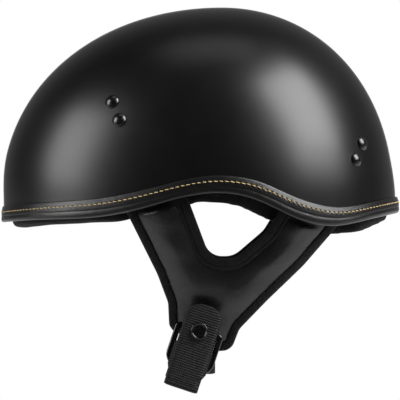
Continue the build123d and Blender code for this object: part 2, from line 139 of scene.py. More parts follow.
# How far the panels go up behind the trim, and their cloth: in from the outline and from the
# window, how finely it is cut, how near to a seam padding lifts it, and its thickness
PANEL_TUCK = 8.0 * MM
COVER_INSET = 5.2 * MM
COVER_WINDOW_INSET = 7.6 * MM
COVER_STEP = 1.5 * MM
COVER_SWELL = 6.5 * MM
COVER_LEAF = 0.8 * MM

# Dents in the panels, each a size, a seed and a depth, and the dip of their upper ends
# below the trim: how far down it reaches, and how deep it is
PANEL_DENTS = ((38.0 * MM, 9, 0.8 * MM), (17.0 * MM, 4, 0.22 * MM))
PANEL_DIP_REACH = 6.0 * MM
PANEL_DIP = 4.0 * MM

# Webbing in a panel and between shell and liner: its ends in the side view, and its tails
# below the panel's foot, in mm
PANEL_WEB_TOPS = ((-42.0, 12.0), (81.0, -2.0))
PANEL_WEB_FOOT = (2.0, -88.0)
PANEL_WEB_TAILS = {"left": 6.0 * MM, "right": 21.0 * MM}
SHELL_WEBS = {
    "front": ((-34.0, -4.0), (-70.5, 80.0)),
    "rear": ((75.0, -13.0), (119.0, 52.0)),
}
SHELL_WEB_PAST = 11.5 * MM
SHELL_WEB_RISE = 7.5 * MM

# Sections of the knit bindings: in from the edge, and in from the panel's face, in mm
EDGE_SECTION = (
    (6.0, 1.0), (6.0, 0.15), (5.6, -0.2), (4.5, -0.4), (2.6, -0.25), (1.1, 0.15), (0.3, 0.9),
    (0.0, 2.2), (0.0, 4.1), (0.0, 6.0), (0.3, 7.3), (1.1, 8.05), (2.6, 8.4), (4.5, 8.5),
    (5.6, 8.35), (6.0, 8.1), (6.0, 7.3),
)
WINDOW_SECTION = (
    (8.4, 1.0), (8.4, 0.4), (8.0, -0.05), (7.2, -0.25), (6.4, -0.1), (5.9, 0.3), (5.6, 0.45),
    (5.2, 0.05), (4.4, -0.3), (3.0, -0.4), (1.6, -0.1), (0.5, 0.7), (0.0, 2.0), (0.0, 4.1),
    (0.0, 6.2), (0.5, 7.4), (1.6, 8.1), (3.0, 8.4), (5.0, 8.4), (7.0, 8.35), (8.0, 8.25),
    (8.4, 8.0), (8.4, 7.3),
)

# Buckle: heights up the webbing and depths out from its back plane, in mm
BUCKLE_ORIGIN = (-0.4, -71.9, -91.4)
BUCKLE_TILT = math.radians(18.5)
ANCHOR_PATH = ((0.75, 9.2), (0.75, -3.3), (9.05, -3.3), (9.05, 5.4), (2.3, 8.45))
ANCHOR_RADII = (2.6, 2.6, 1.5)
HOOK_PATH = (
    (-0.05, -34.2), (-0.05, -12.0), (9.85, -12.0), (9.85, -41.65), (13.25, -41.65), (13.25, -37.4),
)
HOOK_RADII = (1.2, 1.2, 1.25, 1.25)
CHIN_PATH = ((-71.85, -104.5), (-71.85, -121.25), (49.0, -121.25), (61.2, -109.4))
CHIN_RADII = (11.0, 12.0)
CHIN_X = -1.9
TAB_BACK = 12.5
TAB_SHOULDER = 12.0
TAB_TIP = 19.0
TAB_CREASE = -37.0
TAB_NOTCH = 2.2
TAB_NOTCH_LEVEL = -33.0
CAP_SECTION = (
    (2.4, 1.0), (5.9, 1.45), (6.1, 1.7), (6.1, 2.7), (5.95, 3.25), (5.6, 3.6), (5.2, 3.65),
    (4.9, 3.4), (4.7, 3.05), (4.5, 2.9), (4.35, 2.86), (4.1, 2.85), (3.0, 2.85), (0.02, 2.85),
)

# Lamps: name, azimuth, elevation, distance, width, height, power
LAMPS = (
    ("rear_softbox", 64.5, 37.5, 2.2, 1.4, 1.8, 84.0),
    ("front_softbox", -70.5, 19.5, 2.2, 1.05, 1.5, 33.0),
    ("top_softbox", 0.0, 88.0, 2.2, 1.2, 0.8, 3.0),
)

# Brightness of the room by how far behind the helmet a direction points
ROOM_LIGHT = ((0.0, 0.006), (0.35, 0.02), (0.6, 0.13), (0.9, 0.22))
FLOOR_RADIUS = 2.5

SIDES = ("left", "right")

# How finely the pieces are drawn: points round the shell and round the trim, rows up the
# shell's skirt and over its crown, and points across a strap
SHELL_POINTS = 360
TRIM_POINTS = 1440
SKIRT_ROWS = 12
CROWN_ROWS = 90
RIBBON_POINTS = 15


def metres(values):
    """Millimetres as an array of metres."""
    return np.array(values, float) * MM


def dense(points):
    """A smooth curve through a few points, as many points close together."""
    p = np.array(points, float)
    gaps = np.hypot(*np.diff(p, axis=0).T)
    at = np.concatenate([[0], np.cumsum(gaps)])
    n = len(p)
    a = np.zeros((n, n))
    b = np.zeros((n, p.shape[1]))
    a[0, 0] = a[-1, -1] = 1
    for i in range(1, n - 1):
        a[i, i - 1 : i + 2] = gaps[i - 1], 2 * (gaps[i - 1] + gaps[i]), gaps[i]
        b[i] = 6 * ((p[i + 1] - p[i]) / gaps[i] - (p[i] - p[i - 1]) / gaps[i - 1])
    bend = np.linalg.solve(a, b)
    s = np.linspace(0, at[-1], 600)
    i = np.clip(np.searchsorted(at, s, side="right") - 1, 0, n - 2)
    h = gaps[i][:, None]
    u = (s - at[i])[:, None]
    v = h - u
    return (
        bend[i] * v**3 / (6 * h) + bend[i + 1] * u**3 / (6 * h)
        + (p[i] / h - bend[i] * h / 6) * v + (p[i + 1] / h - bend[i + 1] * h / 6) * u
    )


RIM = dense([(x * RIM_HALF_LENGTH, RIM_LOW_LEVEL + z * RIM_WAVE) for x, z in RIM_SHARES])


def rim_level(x):
    """Height of the rim line at a place along the helmet."""
    return np.interp(x, RIM[:, 0], RIM[:, 1])


STITCHED = dense([(x * RIM_HALF_LENGTH, share * STITCH_RISE) for x, share in STITCH_SHARES])


def stitch_rise(x):
    """Height of the stitches above the rim line at a place along the helmet."""
    return np.interp(x, STITCHED[:, 0], STITCHED[:, 1])


def smooth(share):
    """Eases from 0 to 1 as a share goes from 0 to 1."""
    share = np.clip(share, 0, 1)
    return share * share * (3 - 2 * share)


def rounded(points, radii, step):
    """A line through the points with its inner corners rounded, as evenly spaced points."""
    p = [np.array(q, float) for q in points]
    line = [p[0]]
    for before, corner, after, radius in zip(p, p[1:], p[2:], radii):
        a = (before - corner) / np.linalg.norm(before - corner)
        b = (after - corner) / np.linalg.norm(after - corner)
        half = math.acos(np.clip(a @ b, -1, 1)) / 2
        reach = radius / math.tan(half)
        middle = corner + (a + b) / np.linalg.norm(a + b) * radius / math.sin(half)
        first, last = corner + a * reach - middle, corner + b * reach - middle
        turn = math.pi - 2 * half
        for share in np.linspace(0, 1, 24):
            mix = math.sin((1 - share) * turn) * first + math.sin(share * turn) * last
            line.append(middle + mix / math.sin(turn))
    line.append(p[-1])
    return spaced(np.array(line), step)


def spaced(line, step):
    """The same line as points about a step apart."""
    at = np.concatenate([[0], np.cumsum(np.linalg.norm(np.diff(line, axis=0), axis=1))])
    s = np.linspace(0, at[-1], max(2, round(at[-1] / step) + 1))
    return np.stack([np.interp(s, at, line[:, k]) for k in range(line.shape[1])], axis=1)


def normals(line):
    """Unit normals on the left of a line in the plane."""
    d = np.gradient(line, axis=0)
    d /= np.linalg.norm(d, axis=1)[:, None]
    return np.stack([-d[:, 1], d[:, 0]], axis=1)


def beside(line, distance):
    """The line moved sideways, to its left, point for point, with no loops at tight corners."""
    moved = line + normals(line) * distance
    if abs(distance) < 1e-9:
        return moved
    gap = np.linalg.norm(moved[:, None] - line[None], axis=2).min(axis=1)
    good = gap > abs(distance) * 0.985
    good[0] = good[-1] = True
    i = np.arange(len(line))
    return np.stack([np.interp(i, i[good], moved[good, k]) for k in range(2)], axis=1)


class Dome:
    """The egg that the helmet's layers follow: a profile turned about the crown line and
    stretched to the brow and to the nape."""

    def __init__(self, sizes):
        self.sizes = sizes
        t = np.linspace(0, 1, 2001)
        ends = (1 - t) ** 2 + t**2
        middle = 2 * sizes.fullness * t * (1 - t)
        self.across = ((1 - t) ** 2 + middle) / (ends + middle)
        self.up = (t**2 + middle) / (ends + middle)

    def reach(self, forward, inset):
        """Half length of a layer, to the brow or to the nape."""
        s = self.sizes
        return np.where(forward, s.front_reach, s.rear_reach) - inset

    def point(self, angle, across, level, inset):
        """A point at a share of the dome's width, turned by an angle from +X."""
        s = self.sizes
        c = np.cos(angle)
        x = s.crown_setback + c * across * self.reach(c < 0, inset) + self.shift(level)
        y = np.sin(angle) * across * (s.half_width - inset)
        return np.stack(np.broadcast_arrays(x, y, level), axis=-1)

    def shift(self, level):
        """How far the rim lies back of the crown's own line."""
        return self.sizes.rim_setback * smooth((35 * MM - level) / (40 * MM))

    def width_share(self, level, inset):
        """Share of the widest width that a layer has at a height."""
        s = self.sizes
        rise = (level - s.widest_level) / (s.crown_height - inset)
        return np.interp(rise, self.up, self.across)

    def at_level(self, angle, level, inset):
        """A point at a height, turned by an angle from +X."""
        return self.point(angle, self.width_share(level, inset), level, inset)

    def over_rim(self, angle, rise, inset):
        """A point at a height above the rim line."""
        level = np.zeros(np.broadcast(angle, rise, inset).shape)
        for _ in range(12):
            level = rim_level(self.at_level(angle, level, inset)[..., 0]) + rise
        return self.at_level(angle, level, inset)

    def side(self, x, z, inset):
        """A point on the wearer's left at a place in the side view."""
        s = self.sizes
        across = self.width_share(z, inset)
        middle = s.crown_setback + self.shift(z)
        reach = self.reach(x < middle, inset)
        along = np.clip((x - middle) / reach, -0.985 * across, 0.985 * across)
        y = -(s.half_width - inset) * np.sqrt(across**2 - along**2)
        return np.stack(np.broadcast_arrays(middle + along * reach, y, z), axis=-1)


class Funnel:
    """The surface that the left side panel follows: upright, then leaning in to the jaw."""

    def __init__(self, shell, panel):
        self.shell, self.panel = shell, panel

    def point(self, x, z, depth):
        """A point at a place in the side view, a depth in from the panel's face."""
        s, p = self.shell, self.panel
        inset = p.inset + depth
        lean = math.tan(p.lean)
        start = p.lean_level + p.bend_radius * math.tan(p.lean / 2)
        end = p.lean_level - p.bend_radius * math.tan(p.lean / 2) * math.cos(p.lean)
        drop = np.clip(start - z, 0, None)
        arc = np.sqrt(np.maximum(p.bend_radius**2 - np.minimum(drop, start - end) ** 2, 0))
        drawn = np.where(z > end, p.bend_radius - arc, (p.lean_level - z) * lean)
        radius = s.half_width - inset - np.where(z > start, 0, drawn)
        reach = np.where(x < s.crown_setback, s.front_reach, s.rear_reach) - inset
        along = (x - s.crown_setback) * (s.half_width - inset) / reach
        y = -np.sqrt(np.maximum(radius**2 - along**2, 0))
        return np.stack(np.broadcast_arrays(x, y, z), axis=-1)


def mesh_object(name, points, faces, finish, uv=None):
    """A smooth mesh piece with its finish, and its texture lengths in metres."""
    mesh = bpy.data.meshes.new(name)
    mesh.from_pydata([tuple(p) for p in points], [], [tuple(map(int, f)) for f in faces])
    if uv is not None:
        layer = mesh.uv_layers.new(name="lengths")
        index = np.zeros(len(mesh.loops), int)
        mesh.loops.foreach_get("vertex_index", index)
        layer.data.foreach_set("uv", np.asarray(uv, np.float32)[index].ravel())
    mesh.polygons.foreach_set("use_smooth", [True] * len(mesh.polygons))
    mesh.materials.append(finish)
    mesh.validate()
    mesh.update()
    piece = bpy.data.objects.new(name, mesh)
    bpy.context.scene.collection.objects.link(piece)
    return piece


def outward(piece):
    """Turns the faces of a closed piece outward."""
    bm = bmesh.new()
    bm.from_mesh(piece.data)
    bmesh.ops.recalc_face_normals(bm, faces=bm.faces)
    bm.to_mesh(piece.data)
    bm.free()
    return piece


def grid_faces(rows, columns, start=0, ring=False):
    """Quads of a grid of points closed round its columns, and with its rows in a ring where
    asked."""
    r, c = np.meshgrid(np.arange(rows if ring else rows - 1), np.arange(columns), indexing="ij")
    r2, c2 = (r + 1) % rows, (c + 1) % columns
    quads = np.stack([r * columns + c, r2 * columns + c, r2 * columns + c2, r * columns + c2], -1)
    return (quads.reshape(-1, 4) + start).tolist()


def tube_faces(rows, columns, start=0):
    """Quads of a grid of points closed round its columns, and a face at each of its ends."""
    ends = (start, start + (rows - 1) * columns)
    return grid_faces(rows, columns, start) + [list(range(k, k + columns)) for k in ends]


def lengths(points, axis):
    """Running length along one axis of a grid of points."""
    steps = np.linalg.norm(np.diff(points, axis=axis), axis=-1)
    shape = list(steps.shape)
    shape[axis] = 1
    return np.concatenate([np.zeros(shape), np.cumsum(steps, axis=axis)], axis=axis)


def grid_object(name, points, finish, ring=False):
    """A tube from a grid of points, with closed ends or in a ring."""
    rows, columns = points.shape[:2]
    faces = grid_faces(rows, columns, ring=True) if ring else tube_faces(rows, columns)
    uv = np.stack([lengths(points, 1), lengths(points, 0)], axis=-1).reshape(-1, 2)
    return outward(mesh_object(name, points.reshape(-1, 3), faces, finish, uv))


def joined(name, pieces):
    """Several pieces as one."""
    with bpy.context.temp_override(active_object=pieces[0], selected_editable_objects=pieces):
        bpy.ops.object.join()
    pieces[0].name = name
    return pieces[0]


def settled(piece):
    """A piece with its modifiers applied."""
    bpy.context.view_layer.update()
    graph = bpy.context.evaluated_depsgraph_get()
    result = bpy.data.meshes.new_from_object(piece.evaluated_get(graph))
    piece.modifiers.clear()
    piece.data = result
    return piece


def on_side(side, points):
    """Points worked out on the wearer's left, or their mirror image on the right."""
    return points if side == "left" else points * np.array([1, -1, 1])


def band(line, half, columns, surface, outer, inner):
    """A flat strap along a line in the side view, between two depths of a surface."""
    turn = normals(line)
    flat = np.array([line + turn * half * share for share in np.linspace(-1, 1, columns)])
    front, back = (surface(flat[..., 0], flat[..., 1], depth) for depth in (outer, inner))
    return np.concatenate([front, back[::-1]], axis=0).transpose(1, 0, 2)


def within(loop, points):
    """The points that lie inside a closed loop in the plane."""
    after = np.roll(loop, -1, axis=0)
    x, z = points[:, :1], points[:, 1:]
    crosses = (loop[:, 1] > z) != (after[:, 1] > z)
    rise = np.where(after[:, 1] == loop[:, 1], 1e-9, after[:, 1] - loop[:, 1])
    where = loop[:, 0] + (z - loop[:, 1]) * (after[:, 0] - loop[:, 0]) / rise
    return points[(crosses & (where > x)).sum(axis=1) % 2 == 1]


def filled(loop):
    """Flat points and triangles that fill a closed loop, on a grid of equal triangles."""
    wide, tall, clear = 1.6 * MM, 1.4 * MM, 0.9 * MM
    low, high = loop.min(axis=0), loop.max(axis=0)
    x, z = np.meshgrid(np.arange(low[0], high[0], wide), np.arange(low[1], high[1], tall))
    x[::2] += wide / 2
    inside = within(loop, np.stack([x.ravel(), z.ravel()], axis=1))
    gap = np.linalg.norm(inside[:, None] - loop[None], axis=2).min(axis=1)
    flat = np.concatenate([loop, inside[gap > clear]])
    border = list(range(len(loop)))
    verts, _, faces, *_ = delaunay_2d_cdt([Vector(q) for q in flat], [], [border], 1, 1e-8)
    return np.array([tuple(v) for v in verts]), faces


def waves(points, size, seed):
    """Slow waves from -1 to 1 over points in space, about a size apart."""
    rng = np.random.default_rng(seed)
    total = np.zeros(points.shape[:-1])
    for _ in range(7):
        direction = rng.normal(size=3)
        direction *= rng.uniform(0.6, 1.4) * math.tau / size / np.linalg.norm(direction)
        total = total + np.sin(points @ direction + rng.uniform(0, math.tau))
    return total / 3.5


def ribbon(name, centre, side, normal, left, right, strap, finish):
    """A woven strap along a line: rounded selvedges, and ribs raised across it."""
    count = RIBBON_POINTS
    place = np.linspace(-1, 1, count)
    edge = np.sqrt(np.maximum(1 - np.abs(place) ** 8, 0.04))
    along = lengths(centre[:, None], 0)[:, 0]
    raised = 1 + 0.2 * np.cos(along / strap.rib * math.tau)
    across = np.where(place < 0, place * left[:, None], place * right[:, None])
    upper = centre[:, None] + side[:, None] * across[..., None]
    lift = (strap.thickness / 2 * edge[None] * raised[:, None])[..., None] * normal[:, None]
    points = np.concatenate([upper + lift, (upper - lift)[:, ::-1]], axis=1)
    both = np.concatenate([across, across[:, ::-1]], axis=1)
    uv = np.stack([both, np.repeat(along[:, None], 2 * count, axis=1)], axis=-1).reshape(-1, 2)
    faces = tube_faces(len(centre), 2 * count)
    return outward(mesh_object(name, points.reshape(-1, 3), faces, finish, uv))


def flat_strap(name, path, laid, half, strap, finish):
    """A strap along a line drawn in a plane and laid in space, half as wide as given for
    each height."""
    line = spaced(path, strap.rib / 6)
    turn = normals(line)
    centre, side, normal = laid(line, turn)
    width = np.interp(line[:, 1], *np.array(half).T)
    return ribbon(name, centre, side, normal, width, width, strap, finish)


def at_buckle(out, up, across=0.0):
    """A point by the buckle: out from the webbing's back plane, up the webbing, and across it."""
    wide = np.array([math.cos(BUCKLE_TILT), 0, -math.sin(BUCKLE_TILT)])
    tall = np.array([math.sin(BUCKLE_TILT), 0, math.cos(BUCKLE_TILT)])
    return metres(BUCKLE_ORIGIN) + out * np.array([0, -1.0, 0]) + up * tall + across * wide


def edge_on(line, turn):
    """Lays a line drawn at the buckle, out from it and up it, with the strap's width across."""
    origin, across = at_buckle(0.0, 0.0), at_buckle(0.0, 0.0, 1.0)
    normal = at_buckle(turn[:, :1], turn[:, 1:]) - origin
    centre = at_buckle(line[:, :1], line[:, 1:])
    return centre, np.repeat((across - origin)[None], len(line), axis=0), normal


def under_chin(line, turn):
    """Lays a line drawn from side to side under the chin, with the strap's width along X."""
    centre = np.stack([np.full(len(line), CHIN_X * MM), line[:, 0], line[:, 1]], axis=1)
    normal = np.stack([np.zeros(len(line)), turn[:, 0], turn[:, 1]], axis=1)
    return centre, np.repeat([[1.0, 0, 0]], len(line), axis=0), normal


class Value:
    """A number that a material works out at each point; sums on it add Math nodes."""

    def __init__(self, tree, socket):
        self.tree, self.socket = tree, socket

    def math(self, operation, first, second):
        """The result of a Math node."""
        return self.tree.add("ShaderNodeMath", {"operation": operation}, {0: first, 1: second})

    def __add__(self, other):
        return self.math("ADD", self, other)

    __radd__ = __add__

    def __sub__(self, other):
        return self.math("SUBTRACT", self, other)

    def __rsub__(self, other):
        return self.math("SUBTRACT", other, self)

    def __mul__(self, other):
        return self.math("MULTIPLY", self, other)

    __rmul__ = __mul__

    def larger(self, other):
        """The larger of two numbers."""
        return self.math("MAXIMUM", self, other)


class Tree:
    """The nodes of a material or of the world."""

    def __init__(self, owner):
        owner.use_nodes = True
        self.nodes, self.links = owner.node_tree.nodes, owner.node_tree.links

    def feed(self, socket, value):
        """Links a value to a socket, or sets the socket to a plain one."""
        if isinstance(value, Value):
            self.links.new(value.socket, socket)
        else:
            socket.default_value = value

    def add(self, kind, settings, sockets, out=0):
        """Adds a node: its settings first, then the values or links of its sockets."""
        node = self.nodes.new(kind)
        for name, value in settings.items():
            if name == "stops":
                ramp = node.color_ramp.elements
                while len(ramp) < len(value):
                    ramp.new(0.5)
                for stop, (place, grey) in zip(ramp, value):
                    stop.position, stop.color = place, (grey, grey, grey, 1)
            else:
                setattr(node, name, value)
        for name, value in sockets.items():
            self.feed(node.inputs[name], value)
        return Value(self, node.outputs[out])

    def ramp(self, value, *stops):
        """A value passed through a ramp of greys, each stop a place and its grey."""
        return self.add("ShaderNodeValToRGB", {"stops": stops}, {0: value})

    def part(self, vector, axis):
        """One of the three parts of a vector."""
        return self.add("ShaderNodeSeparateXYZ", {}, {0: vector}, axis)

    def ray(self, *kinds):
        """1 for the kinds of ray named, and 0 for others."""
        found = [self.add("ShaderNodeLightPath", {}, {}, f"Is {kind} Ray") for kind in kinds]
        return functools.reduce(Value.larger, found)

    def blend(self, share, first, second, end):
        """Mixes two shaders and gives the result to an output node."""
        both = self.add("ShaderNodeMixShader", {}, {0: share, 1: first, 2: second})
        self.feed(self.nodes[end].inputs["Surface"], both)


class Finish(Tree):
    """A node material for one of the helmet's surfaces."""

    def __init__(self, name, **fixed):
        self.material = bpy.data.materials.new(name)
        super().__init__(self.material)
        self.shader = self.nodes["Principled BSDF"]
        for socket, value in fixed.items():
            self.shader.inputs[socket.replace("_", " ")].default_value = value

    def place(self):
        """Where a point is on the piece, in metres."""
        return self.add("ShaderNodeTexCoord", {}, {}, "Object")

    def length(self, axis):
        """Running length over the piece's surface, along one of its two ways."""
        return self.part(self.add("ShaderNodeTexCoord", {}, {}, "UV"), axis)

    def noise(self, size, detail=3.0, rough=0.5):
        """Cloudy noise with clouds of a size."""
        sockets = {"Vector": self.place(), "Scale": 1 / size, "Detail": detail, "Roughness": rough}
        return self.add("ShaderNodeTexNoise", {}, sockets)

    def cells(self, size, feature="F1", uneven=1.0):
        """Distance in cells of a size, from their middles or from their edges."""
        sockets = {"Vector": self.place(), "Scale": 1 / size, "Randomness": uneven}
        return self.add("ShaderNodeTexVoronoi", {"feature": feature}, sockets)

    def wave(self, turn):
        """A wave from 0 to 1 and back with each full turn."""
        return self.add("ShaderNodeMath", {"operation": "SINE"}, {0: turn}) * 0.5 + 0.5

    def mix(self, share, first, second):
        """A colour between two colours."""
        sockets = {0: share, 6: first, 7: second}
        return self.add("ShaderNodeMix", {"data_type": "RGBA"}, sockets, 2)

    def relief(self, height, depth, under=None):
        """Fine bumps of a depth, on top of others where given."""
        sockets = {"Height": height, "Distance": depth, "Strength": 1.0}
        if under:
            sockets["Normal"] = under
        return self.add("ShaderNodeBump", {}, sockets)

    def give(self, **sockets):
        """Feeds the shader's sockets, and returns the finished material."""
        for socket, value in sockets.items():
            self.feed(self.shader.inputs[socket.replace("_", " ")], value)
        return self.material


def tone(colour, share):
    """A colour made lighter or darker, with its alpha."""
    return (*(min(1.0, c * share) for c in colour[:3]), 1.0)


def satin_paint(name, colour, roughness):
    """Satin paint with a faint orange peel and rub marks."""
    f = Finish(name, IOR=1.5)
    peel = f.noise(2.2 * MM, 2.0)
    rubs = f.noise(26 * MM, 5.0, 0.6)
    base = f.mix(f.ramp(rubs, (0.35, 0), (0.7, 1)), tone(colour, 0.9), tone(colour, 1.25))
    return f.give(
        Base_Color=base,
        Roughness=roughness - 0.03 + 0.06 * rubs,
        Normal=f.relief(peel, 0.012 * MM),
    )


def leatherette(name, colour, roughness, grain, depth):
    """Moulded leather grain: small pebbles with darker, duller valleys, and soft creases."""
    f = Finish(name, IOR=1.5)
    pebbles = f.cells(grain, "DISTANCE_TO_EDGE")
    fine = f.noise(0.5 * grain, 2.0)
    creases = f.noise(9 * MM, 5.0, 0.62)
    grained = f.ramp(pebbles, (0.0, 0), (0.22, 1))
    worn = f.ramp(f.noise(17 * MM, 4.0), (0.4, 0), (0.75, 1))
    base = f.mix(grained, tone(colour, 0.6), tone(colour, 1.0))
    base = f.mix(worn, base, tone(colour, 1.35))
    bumps = f.relief(grained * 0.75 + fine * 0.25, depth, f.relief(creases, 0.35 * MM))
    return f.give(Base_Color=base, Roughness=roughness + 0.14 - 0.12 * grained, Normal=bumps)


def knit_fabric(name, colour, loop=0.9 * MM, depth=0.22 * MM):
    """Brushed knit: small loops with lighter tips, and a little pilling."""
    f = Finish(name, IOR=1.25, Sheen_Weight=0.06, Sheen_Roughness=0.5)
    loops = f.cells(loop, "F1", 0.75)
    fuzz = f.noise(0.35 * MM, 4.0, 0.7)
    pills = f.noise(6 * MM, 3.0)
    tips = f.ramp(loops, (0.1, 1), (0.62, 0))
    base = f.mix(tips * 0.6 + fuzz * 0.4, tone(colour, 0.15), tone(colour, 2.4))
    base = f.mix(f.ramp(pills, (0.45, 0), (0.7, 1)), base, tone(colour, 1.5))
    return f.give(
        Base_Color=base, Roughness=0.98 - 0.12 * tips, Normal=f.relief(tips + fuzz * 0.5, depth)
    )


def woven_webbing(name, colour, rib):
    """Woven nylon: ribs across the strap, each of small twisted yarns."""
    f = Finish(name, IOR=1.3, Sheen_Weight=0.03)
    across, along = f.length("X"), f.length("Y")
    ribs = f.wave(along * (math.tau / rib))
    yarns = f.wave(across * (math.tau / (0.75 * rib)))
    fuzz = f.noise(0.4 * MM, 3.0)
    shade = ribs * 0.8 + yarns * 0.12 + fuzz * 0.08
    base = f.mix(shade, tone(colour, 0.1), tone(colour, 1.7))
    return f.give(
        Base_Color=base,
        Roughness=0.66 - 0.2 * ribs,
        Normal=f.relief(ribs + yarns * 0.15 + fuzz * 0.06, 0.2 * MM),
    )


def bead_foam(name, colour):
    """Moulded bead foam with its cells and a dusty skin."""
    f = Finish(name, IOR=1.45)
    cells = f.cells(3.6 * MM, "DISTANCE_TO_EDGE")
    seams = f.ramp(cells, (0.0, 0), (0.12, 1))
    dust = f.noise(12 * MM, 4.0)
    base = f.mix(seams, tone(colour, 0.55), tone(colour, 1.15))
    base = f.mix(f.ramp(dust, (0.5, 0), (0.8, 1)), base, tone(colour, 1.6))
    return f.give(Base_Color=base, Roughness=0.85 - 0.1 * seams, Normal=f.relief(seams, 0.25 * MM))


def black_metal(name, colour, roughness):
    """Glossy coated metal, a little worn."""
    f = Finish(name, IOR=1.6)
    wear = f.noise(3 * MM, 6.0, 0.65)
    base = f.mix(f.ramp(wear, (0.6, 0), (0.72, 1)), tone(colour, 1.0), tone(colour, 2.2))
    return f.give(
        Base_Color=base,
        Roughness=roughness + 0.12 * wear,
        Normal=f.relief(f.noise(0.8 * MM, 2.0), 0.01 * MM),
    )


def brushed_metal(name, colour):
    """Plain rolled steel."""
    f = Finish(name, Metallic=1.0)
    grain = f.noise(0.6 * MM, 4.0)
    base = f.mix(grain, tone(colour, 0.75), tone(colour, 1.2))
    return f.give(Base_Color=base, Roughness=0.28 + 0.2 * grain, Normal=f.relief(grain, 0.01 * MM))


def sewing_thread(name, colour):
    """Bonded thread with its ply."""
    f = Finish(name, IOR=1.5)
    along = f.length("Y")
    ply = f.wave(along * (math.tau / (0.8 * MM)))
    base = f.mix(ply, tone(colour, 0.5), tone(colour, 1.1))
    return f.give(Base_Color=base, Roughness=0.4 + 0.2 * ply, Normal=f.relief(ply, 0.16 * MM))


def settings():
    """The helmet's settings in this scene."""
    return bpy.context.scene.helmet


def dress(names, finish):
    """Gives CAD pieces a finish."""
    for name in names:
        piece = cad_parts[name]
        piece.data.materials.clear()
        piece.data.materials.append(finish)
        for polygon in piece.data.polygons:
            polygon.material_index = 0


def finished(piece, body, slot, *nodes):
    """Puts a piece on its body in place of the CAD nodes that it stands for."""
    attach(piece, body)
    if nodes:
        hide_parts(*nodes)
    return piece


def tint(name, default, description):
    """A setting for a colour."""
    return FloatVectorProperty(
        name=name, description=description, default=default, subtype="COLOR", min=0, max=1
    )


def measure(name, default, description):
    """A setting for a length."""
    return FloatProperty(
        name=name, description=description, default=default, unit="LENGTH", precision=5
    )


class ShellSizes(PropertyGroup):
    """Sizes and colours of the shell"""

    front_reach: measure("Front reach", 156.4 * MM, "From the crown line to the brow")
    rear_reach: measure("Rear reach", 121.8 * MM, "From the crown line to the nape")
    half_width: measure("Half width", 109.0 * MM, "From the middle to the side of the shell")
    crown_height: measure("Crown height", 134.4 * MM, "From the widest level to the crown")
    crown_setback: measure("Crown setback", 15.5 * MM, "How far the crown lies behind the middle")
    rim_setback: measure("Rim setback", 1.5 * MM, "How far the rim lies back of the dome above")
    widest_level: measure("Widest level", 2.0 * MM, "Height at which the dome is widest")
    wall: measure("Wall", 3.5 * MM, "Thickness of the shell")
    edge_rise: measure("Edge rise", 2.2 * MM, "Height of the shell's edge above the rim line")
    fullness: FloatProperty(
        name="Fullness", description="Weight of the dome's profile, fuller as it grows",
        default=0.763, min=0.5, max=1.2,
    )
    paint: tint("Paint", (0.002, 0.002, 0.0023), "Colour of the shell's paint")
    roughness: FloatProperty(
        name="Paint roughness", description="Roughness of the satin paint", default=0.33,
        min=0, max=1,
    )


class TrimSizes(PropertyGroup):
    """Sizes and colours of the edge trim"""

    stitch_pitch: measure("Stitch pitch", 3.85 * MM, "Distance from one stitch to the next")
    stitch_length: measure("Stitch length", 3.4 * MM, "Length of a stitch")
    stitch_width: measure("Stitch width", 0.7 * MM, "Width of a stitch")
    leather: tint("Leatherette", (0.004, 0.0039, 0.0037), "Colour of the trim")
    thread: tint("Thread", (0.66, 0.48, 0.22), "Colour of the stitches")


class PanelSizes(PropertyGroup):
    """Sizes and colours of the side panels"""

    inset: measure("Inset", 7.0 * MM, "From the shell's surface in to the panel's face")
    lean_level: measure("Lean level", -8.0 * MM, "Height below which the panel leans in")
    bend_radius: measure("Bend radius", 60.0 * MM, "Radius of the bend into the lean")
    lean: FloatProperty(
        name="Lean", description="How far the panel leans in to the jaw",
        default=math.radians(22.0), subtype="ANGLE",
    )
    crown: measure("Crown", 3.1 * MM, "How far the padding stands proud between its bindings")
    lining_depth: measure("Lining depth", 8.1 * MM, "From the face in to the lining")
    leather: tint("Leatherette", (0.0048, 0.0047, 0.0045), "Colour of the panels")
    knit: tint("Binding", (0.0035, 0.0035, 0.0038), "Colour of the knit bindings")


class StrapSizes(PropertyGroup):
    """Sizes and colours of the webbing and its fittings"""

    width: measure("Strap width", 25.0 * MM, "Width of the chin strap")
    thickness: measure("Strap thickness", 1.5 * MM, "Thickness of the webbing")
    tab_width: measure("Tab width", 25.4 * MM, "Width of the snap tab")
    tail_width: measure("Tail width", 24.4 * MM, "Width of the strap's folded end")
    ring_width: measure("Width in the rings", 28.0 * MM, "Width of the strap inside the rings")
    anchor_width: measure("Anchor width", 23.0 * MM, "Width of the anchor loop")
    rib: measure("Rib pitch", 1.7 * MM, "Distance from one rib of the weave to the next")
    webbing: tint("Webbing", (0.008, 0.008, 0.0088), "Colour of the webbing")
    metal: tint("Black metal", (0.003, 0.003, 0.0034), "Colour of rings, rivets and cap")
    steel: tint("Steel", (0.45, 0.45, 0.46), "Colour of the washers and snap parts")


class PaddingSizes(PropertyGroup):
    """Sizes and colours of the liner and comfort padding"""

    voxel: measure("Voxel", 2.5 * MM, "Fineness of the padding before it is inflated")
    swell: measure("Swell", 1.6 * MM, "The most that inflating moves a point of the padding")
    knit: tint("Comfort knit", (0.005, 0.005, 0.0052), "Colour of the comfort padding")
    foam: tint("Liner foam", (0.02, 0.02, 0.022), "Colour of the impact liner")


